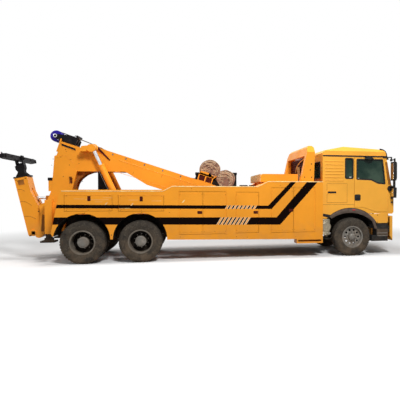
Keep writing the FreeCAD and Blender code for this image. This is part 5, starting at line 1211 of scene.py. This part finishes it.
def make_mirrors():
    """Swelling mirror housings, their glass and joints, the kerb mirrors and the side markers."""
    for side, sign in SIDES:
        housing, glass, amber = meshes(3)
        for z0, z1, depth, mid_y in HOUSINGS:
            rings = []
            for f in (k / 8 for k in range(9)):
                swell = math.sin(math.pi * (0.08 + 0.84 * f)) ** 0.5
                rings.append([at(MIRROR_X1 - 0.032 + depth * swell * squared(a + math.pi / 2),
                                 sign * (mid_y + 0.090 * swell * squared(a)), z0 + (z1 - z0) * f)
                              for a in angles(16)])
            bridge(housing, rings, capped=True)
            add_box(glass, at(MIRROR_X0 - 0.0045, sign * mid_y - 0.075, z0 + 0.02),
                    at(MIRROR_X0 - 0.0005, sign * mid_y + 0.075, z1 - 0.02))
        for z in (1.917, 2.658):
            add_rod(housing, at(8.137, sign * 1.325, z - 0.035), at(8.137, sign * 1.325, z + 0.035),
                    0.024, 18)
            add_cap(housing, ((0.0, 0.03), (0.030, 0.022), (0.038, 0.0)),
                    at(8.135, sign * (CAB_Y + 0.001), z), sign, 20)
        for x, z, r in MIRROR_JOINTS:
            add_cap(housing, ((0.0, 0.06), (r * 0.7, 0.05), (r, 0.02), (r, 0.0)), at(x, sign * CAB_Y, z),
                    sign, 16)
        rings = []
        for f in (k / 6 for k in range(7)):
            swell = math.sin(math.pi * (0.06 + 0.88 * f)) ** 0.6
            rings.append([at(7.445 + (f - 0.5) * 0.24, sign * (CAB_Y + 0.062 + 0.048 * swell * math.cos(a)),
                             2.690 + 0.045 * swell * math.sin(a)) for a in angles(16)])
        bridge(housing, rings, capped=True)
        add_tube(housing, [at(7.445, sign * (CAB_Y + off), z) for off, z in
                           ((0.06, 2.72), (0.04, 2.745), (-0.02, 2.765))], 0.011)
        add_block(amber, (8.150, 8.185), sign * (CAB_Y + 0.006), (1.700, 1.745), 0.005)
        pieces("cab", (housing, f"mirror_housings_{side}", "black_plastic"),
               (glass, f"mirror_glass_{side}", "polished_rod", 0.002),
               (amber, f"side_marker_{side}", "amber_lens", 0.004))


def make_face():
    """Grille strips and mesh, wipers, vents of the pillars, a dark strip and painted shade on each pillar,
    and the lamps in the bumper.
    """
    black, bright, brown = meshes(3)
    for z in (1.260 + 0.105 * k for k in range(4)):
        add_tube(bright, path(at, (8.2280, -0.80, z + 0.03), (8.2280, 0.80, z + 0.03)), 0.006)
        for y in (-0.80 + 0.041 * i for i in range(40)):
            add_box(black, at(8.222, y - 0.003, z + 0.061), at(8.230, y + 0.003, z + 0.104))
    for y0, y1 in ((-0.85, -0.10), (0.05, 0.80)):
        start, end = at(8.172, y0, 1.93), at(8.108, y1, 2.20)
        blade = (end - start) * 0.42
        add_tube(black, [start, start.lerp(end, 0.3) + Vector((0.012, 0, 0)), end + Vector((0.008, 0, 0))],
                 0.009)
        add_tube(black, [end - blade + Vector((0.004, 0, 0.06)), end + Vector((0.004, 0, 0)),
                         end + blade * 0.6 + Vector((0.004, 0, -0.03))], 0.007, 6)
        add_rod(black, start - Vector((0.01, 0, 0)), start + Vector((0.028, 0, 0)), 0.022, 16)
    rings, bowls, amber = meshes(3)
    for sign in (1, -1):
        for z in (1.70, 1.59, 1.47):
            vent = ((8.125, z - 0.028), (8.200, z - 0.020), (8.195, z + 0.024), (8.130, z + 0.028))
            add_panel(black, vent, sign, CAB_Y - 0.001, CAB_Y + 0.003, 0.012)
        # Brown sheet on the pillar as painted shade
        add_panel(brown, ((7.962, 2.600), (8.020, 2.600), (8.140, 1.965), (8.060, 1.965), (8.045, 2.010)),
                  sign, CAB_Y - 0.001, CAB_Y + 0.002)
        add_panel(black, oblong((8.045, 8.049), (1.21, 1.99)), sign, CAB_Y - 0.001, CAB_Y + 0.001)
        for y in (0.70, 0.86):
            centre, r = at(8.2335, sign * y, 0.700), 0.070
            add_lathe(rings, ((r * 0.75, -0.004), (r, -0.004), (r, 0.0012), (r * 0.92, 0.0012),
                              (r * 0.75, -0.003)), centre, (1, 0, 0), 32)
            add_lathe(bowls, ((0.0, 0.0012), (r * 0.5, 0.0008), (r * 0.74, -0.003)), centre, (1, 0, 0), 32,
                      closed=False)
        add_block(amber, (8.2300, 8.2345), sign * 0.935, (0.62, 0.78), 0.018)
    pieces("cab", (black, "face_fittings", "trim_grey"), (brown, "pillar_trims", "shade_brown"),
           (bright, "grille_strips", "polished_rod"))
    pieces("chassis", (rings, "headlamp_rings", "polished_rod"), (bowls, "headlamp_bowls", "white_lens"),
           (amber, "front_turn_lamps", "amber_lens"))


STEP_Y = CAB_Y + 0.010
LIP_R = 0.9563              # outer radius of the mudguard's lip


def make_steps(side, sign):
    """Panel and plate beside the cab's steps, a black sheet as painted shade in the step's recess, bright
    strips, treads, ribs and bolts.
    """
    panel, grey, black, bright = meshes(4)
    curve = [swung(GUARD_X, GUARD_Z, 0.953, a) for a in angles(9, 34.2, 2.75)]
    add_panel(panel, curve + [(8.045, 1.162), (8.045, 0.890)], sign, STEP_Y, STEP_Y + 0.006)
    # Black sheet over the step's recess as painted shade
    add_panel(black, ((7.714, 0.886), (8.045, 0.886), (8.045, 0.728), (7.735, 0.728)), sign, CAB_Y - 0.004,
              CAB_Y + 0.002)
    add_panel(grey, oblong((7.702, 8.043), (0.556, 0.725)), sign, STEP_Y, STEP_Y + 0.006)
    add_panel(bright, oblong((7.715, 8.035), (0.600, 0.622)), sign, STEP_Y + 0.005, STEP_Y + 0.012, 0.01)
    add_panel(bright, oblong((7.715, 8.035), (0.524, 0.545)), sign, STEP_Y + 0.001, STEP_Y + 0.010, 0.01)
    for z in (0.7925, 0.6025):
        add_chequer(bright, 7.775, sign * 0.98, (0.028, sign * 0.05), 8, 0.011, 0.003,
                    (z - 0.002, z + 0.0015))
    for z in (0.395 + 0.034 * k for k in range(4)):
        add_panel(black, oblong((7.575, 8.030), (z, z + 0.012)), sign, CAB_Y, CAB_Y + 0.006)
    for x, z in ((7.72, 0.91), (8.025, 0.91), (7.72, 1.11), (8.025, 1.11)):
        add_bolt(black, at(x, sign * (STEP_Y + 0.006), z), (0, sign, 0), 0.008)
    pieces("chassis", (panel, f"step_panel_{side}", "cab_paint", 0.003),
           (grey, f"step_plate_{side}", "trim_grey", 0.003),
           (bright, f"step_strips_{side}", "silver_rim", 0.0, "chrome"),
           (black, f"step_ribs_{side}", "black_plastic"))


def make_arch(side, sign):
    """Flared lip of a front mudguard, with a red lamp on it."""
    lip, red = meshes(2)
    sections = []
    for k, a in enumerate(angles(41, 41.5, 2.2)):
        inner = LIP_R - 0.085 - 0.042 * math.sin(math.pi * k / 40)
        section = []
        for r, y in ((inner, 1.128), (inner, 1.146), (inner + 0.010, 1.150), (LIP_R - 0.012, 1.150),
                     (LIP_R + 0.001, 1.142), (LIP_R + 0.002, 1.100)):
            x, z = swung(GUARD_X, GUARD_Z, r, a)
            section.append(at(x, sign * y, z))
        sections.append(section)
    bridge(lip, sections, capped=True)
    add_panel(lip, ((7.638, 0.985), (7.708, 0.730), (7.640, 0.730), (7.560, 0.930)), sign, 1.130, 1.149)
    add_block(red, (6.965, 7.055), sign * 1.152, (1.245, 1.282), 0.008)
    pieces("chassis", (lip, f"arch_lip_{side}", "guard_plastic"),
           (red, f"fender_lamp_{side}", "red_lens", 0.006))


make_windows()
make_cab_sides()
make_roof()
make_mirrors()
make_face()
for each_side, each_sign in SIDES:
    make_steps(each_side, each_sign)
    make_arch(each_side, each_sign)


# ---- chassis, deck and gantry ----
SILENCER_X, SILENCER_Y, SILENCER_Z = 6.225, -0.835, 0.800
# first and last y, then first and last z, of the four lengths of a strap round the fuel tank
STRAP = ((0.432, 0.432, 0.625, 1.004), (0.432, 0.624, 1.004, 1.004), (0.624, 0.624, 0.616, 1.004),
         (0.432, 0.624, 0.616, 0.616))
AIR_TANK_Y, AIR_TANK_Z = -0.54, 0.86


def make_silencer():
    """Ribbed silencer with its pipes and straps, and the rippled heat shield on the truck's right."""
    bm, straps = meshes(2)
    profile = [(0.0, -0.286), (0.050, -0.286), (0.060, -0.281), (0.085, -0.281), (0.095, -0.286),
               (0.118, -0.286), (0.132, -0.276)]
    for y in (-0.25 + 0.050 * k for k in range(11)):
        profile += [(0.1325, y - 0.018), (0.141, y - 0.009), (0.141, y + 0.009), (0.1325, y + 0.018)]
    profile += [(0.132, 0.278), (0.0, 0.280)]
    add_cap(bm, profile, at(SILENCER_X, SILENCER_Y, SILENCER_Z), 1, 48)
    add_tube(bm, path(at, (6.225, -0.62, 0.92), (6.22, -0.62, 1.00), (6.21, -0.60, 1.06),
                      (6.21, -0.52, 1.09)), 0.045, 16)
    add_tube(bm, path(at, (6.20, -1.02, 0.69), (6.20, -1.03, 0.62), (6.22, -1.05, 0.58), (6.26, -1.09, 0.56)),
             0.040, 16)
    rows = []
    for k in range(61):
        ripple = 0.006 * math.sin(2 * math.pi * k / 6)
        front = [at(6.118 + 0.026 * i,
                    -1.118 - ripple - 0.004 * math.sin(i * 1.9 + k * 0.21) + 0.0012 * (i - 4) ** 2,
                    0.590 + 0.430 * k / 60 + 0.005 * math.sin(i * 1.3)) for i in range(9)]
        rows.append(front + [p + Vector((0, 0.010, 0)) for p in reversed(front)])
    bridge(bm, rows, capped=True)
    for y in (-1.02, -0.66):
        add_lathe(straps, ((0.1425, -0.016), (0.1465, -0.016), (0.1465, 0.016), (0.1425, 0.016)),
                  at(SILENCER_X, y, SILENCER_Z), (0, 1, 0), 40)
    pieces("chassis", (bm, "silencer", "silencer"), (straps, "silencer_straps", "black_steel"))


def make_tank_trim():
    """Straps and filler cap of the fuel tank, and rings and drains of the air tanks."""
    straps, bright = meshes(2)
    for x in (4.62, 5.00, 5.38):
        for y0, y1, z0, z1 in STRAP:
            add_box(straps, at(x - 0.02, y0 - 0.002, z0 - 0.002), at(x + 0.02, y1 + 0.002, z1 + 0.002))
    add_lathe(bright, ((0.0, 0.0), (0.045, 0.0), (0.045, 0.030), (0.038, 0.036), (0.0, 0.036)),
              at(5.45, 0.53, 1.0), (0, 0, 1), 24, closed=False)
    for x in (2.3, 2.9, 3.5):
        for ring_x in (x - 0.15, x + 0.15):
            add_lathe(straps, ((0.0952, -0.012), (0.0985, -0.012), (0.0985, 0.012), (0.0952, 0.012)),
                      at(ring_x, AIR_TANK_Y, AIR_TANK_Z), (1, 0, 0), 32)
        add_rod(bright, at(x, AIR_TANK_Y, 0.765), at(x, AIR_TANK_Y, 0.745), 0.012, 8)
    pieces("chassis", (straps, "tank_straps", "black_steel"), (bright, "tank_fittings", "polished_rod"))


def make_eyes():
    """Lashing eyes on the front deck."""
    bm = bmesh.new()
    for sign in (1, -1):
        y = sign * 0.72
        for x in (4.85, 5.25):
            add_tube(bm, [at(x + 0.035 * math.cos(a), y, 2.042 + 0.045 * math.sin(a))
                          for a in angles(13, 0, 15)], 0.008)
            for foot in (x - 0.035, x + 0.035):
                add_rod(bm, at(foot, y, 2.034), at(foot, y, 2.048), 0.016, 14)
    piece(bm, "lashing_eyes", "chassis", "grey_steel")


def on_locker_edge(point):
    """Whether a face of the deck lies on the rear edges of its locker, which take a pale tan as painted
    shade.
    """
    x = point.x + ORIGIN_X
    return 4.55 < x < 4.58 or (point.z > 2.03 and 4.42 < x < 4.445)


def make_deck_boxes():
    """Tool cabinet on the left side body, rubber stops beside it, and the ribbed end of the deck's locker in
    a pale tan as painted shade.
    """
    cabinet, trim, end = meshes(3)
    add_box(cabinet, at(2.74, 0.46, 1.902), at(3.94, 0.80, 2.330))
    add_box(cabinet, at(2.728, 0.448, 2.275), at(3.952, 0.812, 2.343))
    for x in (2.95, 3.35, 3.75):
        add_block(trim, (x - 0.03, x + 0.03), 0.446, (2.237, 2.295), 0.0015)
        add_rod(trim, at(x - 0.03, 0.444, 2.271), at(x + 0.03, 0.444, 2.271), 0.007, 12)
    for x in (2.82, 3.28, 3.42, 3.88):
        add_bar(trim, flat, (x - 0.005, x + 0.005), (1.94, 2.23), 0.4575, 0.4595)
    for y in (0.86, -0.86):
        for x in ((3.87, 4.08), (4.13, 4.27)):
            add_block(trim, x, y, (1.901, 1.945), 0.05)
    # The locker's rear edges take pale tan as painted shade
    tint_faces("deck", on_locker_edge, "scuff")
    # The plate that closes the locker's end wears the pale tan as painted shade
    outline = [(0.88, 2.040), (0.88, 2.150)]
    outline += [(0.78 + 0.10 * math.cos(a), 2.150 + 0.098 * math.sin(a)) for a in angles(6, 15, 15)]
    outline += [(-0.895, 2.248), (-0.895, 2.040)]
    bridge(end, [[at(x, y, z) for y, z in outline] for x in (4.426, 4.434)], capped=True)
    for y in (0.715 - 0.14 * k for k in range(11)):
        add_block(end, (4.421, 4.427), y, (2.045, 2.235), 0.015)
    pieces("chassis", (end, "deck_locker_end", "scuff", 0.003),
           (cabinet, "tool_cabinet", "black_steel", 0.008), (trim, "cabinet_trim", "black_plastic", 0.002))


def make_cab_guard():
    """Headboard lattice in the gantry's portal, with the hoses that loop over it."""
    bars, hoses = meshes(2)
    for y in (-0.93, 0.93):
        add_block(bars, (5.742, 5.782), y, (2.04, 2.72), 0.018)
    for z in (2.055, 2.30, 2.70):
        add_block(bars, (5.746, 5.778), 0.0, (z - 0.018, z + 0.018), 0.93)
    for y in (-0.88 + 0.080 * k for k in range(23)):
        add_block(bars, (5.752, 5.772), y, (2.30, 2.70), 0.009)
    for z in (2.372 + 0.066 * k for k in range(5)):
        add_block(bars, (5.753, 5.771), 0.0, (z, z + 0.014), 0.93)
    add_block(bars, (5.757, 5.767), 0.0, (2.06, 2.29), 0.92)
    add_tube(hoses, path(at, (5.735, 0.30, 2.36), (5.728, 0.22, 2.46), (5.726, 0.05, 2.56),
                         (5.726, -0.25, 2.64), (5.735, -0.60, 2.70)), 0.014, 10)
    for y in (-0.12, 0.02):
        add_tube(hoses, path(at, (5.736, y, 2.05), (5.730, y, 2.20), (5.730, y + 0.02, 2.38),
                             (5.736, y + 0.05, 2.50)), 0.016, 10)
    pieces("chassis", (bars, "cab_guard", "dark_red", 0.002, "black_steel"),
           (hoses, "guard_hoses", "scuff", 0.0, "grey_steel"))


def make_gantry_trim():
    """Bolts that hold the gantry's posts."""
    bolts = bmesh.new()
    for sign in (1, -1):
        for x, z in ((5.790, 2.520), (5.760, 2.360), (5.60, 2.16), (5.80, 2.16)):
            add_bolt(bolts, at(x, sign * 1.130, z), (0, sign, 0), 0.011)
    piece(bolts, "gantry_fittings", "chassis", "black_plastic", 0.004)


make_silencer()
make_tank_trim()
make_eyes()
make_deck_boxes()
make_cab_guard()
make_gantry_trim()


# ---- floor, light and camera ----
FLOOR_HALF = 60.0
FLOOR_UNLIT, FLOOR_SEEN = (0.24, 0.225, 0.21), (0.86, 0.86, 0.86)


def make_floor():
    """Pale floor that keeps the object's shadow, turns white far off and lights the object only a little."""
    mesh = bpy.data.meshes.new("floor")
    corners = [(x, y, 0) for x, y in oblong((-FLOOR_HALF, FLOOR_HALF), (-FLOOR_HALF, FLOOR_HALF))]
    mesh.from_pydata(corners, [], [(0, 1, 2, 3)])
    floor = bpy.data.objects.new("floor", mesh)
    bpy.context.scene.collection.objects.link(floor)
    s = Shader("pale_floor")
    rays = s.node("ShaderNodeLightPath").outputs
    seen = s.most(s.most(rays["Is Camera Ray"], rays["Is Transmission Ray"]), rays["Is Glossy Ray"])
    x, y, _ = s.place()
    reach = s.maths("SQRT", s.maths("ADD", s.times(x, x), s.times(y, y)))
    far = s.times(s.fade(reach, 7.0, 13.0), seen)
    s.feed(s.surface.inputs["Emission Color"], (1.0, 1.0, 1.0))
    s.feed(s.surface.inputs["Emission Strength"], far)
    near = s.mixed(seen, FLOOR_UNLIT, FLOOR_SEEN)
    mesh.materials.append(s.set(Base_Color=s.mixed(far, near, (0.0, 0.0, 0.0)), Roughness=1.0,
                                Specular_IOR_Level=0.0))


def make_world():
    """White surround for the camera, glass and reflections, and a dim one for the light on the object."""
    world = bpy.data.worlds.new("surround")
    bpy.context.scene.world = world
    world.use_nodes = True
    tree = world.node_tree
    tree.nodes.clear()
    rays = tree.nodes.new("ShaderNodeLightPath").outputs
    shown = rays["Is Camera Ray"]
    for ray in ("Is Transmission Ray", "Is Glossy Ray"):
        most = tree.nodes.new("ShaderNodeMath")
        most.operation = "MAXIMUM"
        tree.links.new(shown, most.inputs[0])
        tree.links.new(rays[ray], most.inputs[1])
        shown = most.outputs[0]
    mixer, out = tree.nodes.new("ShaderNodeMixShader"), tree.nodes.new("ShaderNodeOutputWorld")
    tree.links.new(shown, mixer.inputs[0])
    for index, (colour, strength) in enumerate((((1.0, 0.99, 0.97, 1.0), 0.25), ((1.0, 1.0, 1.0, 1.0), 1.0))):
        surround = tree.nodes.new("ShaderNodeBackground")
        surround.inputs["Color"].default_value = colour
        surround.inputs["Strength"].default_value = strength
        tree.links.new(surround.outputs[0], mixer.inputs[index + 1])
    tree.links.new(mixer.outputs[0], out.inputs[0])


# name, place, target, size in metres and power in watts
LAMPS = (("key", (2.5, -11.5, 11.5), (0, 0, 1.2), 3.0, 1850), ("fill", (-11.0, -9.0, 8.0), (0, 0, 1.5), 7.0,
                                                               240),
         ("top", (0.0, -1.0, 12.0), (0, 0, 0), 4.5, 850), ("back", (-2.0, 9.0, 11.0), (0, 0, 1.5), 6.0,
                                                           260))


def make_lights():
    """Round area lamps, each turned to its target."""
    for name, place, target, size, power in LAMPS:
        light = bpy.data.lights.new(name, "AREA")
        light.shape, light.size, light.energy = "DISK", size, power
        holder = bpy.data.objects.new(name, light)
        holder.location = place
        holder.rotation_euler = (Vector(target) - Vector(place)).to_track_quat("-Z", "Y").to_euler()
        bpy.context.scene.collection.objects.link(holder)


def make_camera():
    """Eye 12 m to the right of the truck, 1.7 m up, turned a little to its front."""
    lens_data = bpy.data.cameras.new("camera")
    lens_data.sensor_width = 36.0
    lens_data.lens = 37.5
    lens_data.shift_x = -0.18
    lens_data.clip_end = 300.0
    camera = bpy.data.objects.new("camera", lens_data)
    camera.location = at(2.488, -11.992, 1.712)
    camera.rotation_euler = (math.radians(90) - 0.015, 0.0, -0.201)
    bpy.context.scene.collection.objects.link(camera)
    bpy.context.scene.camera = camera


make_floor()
make_world()
make_lights()
make_camera()
bpy.context.scene.view_settings.view_transform = "Standard"
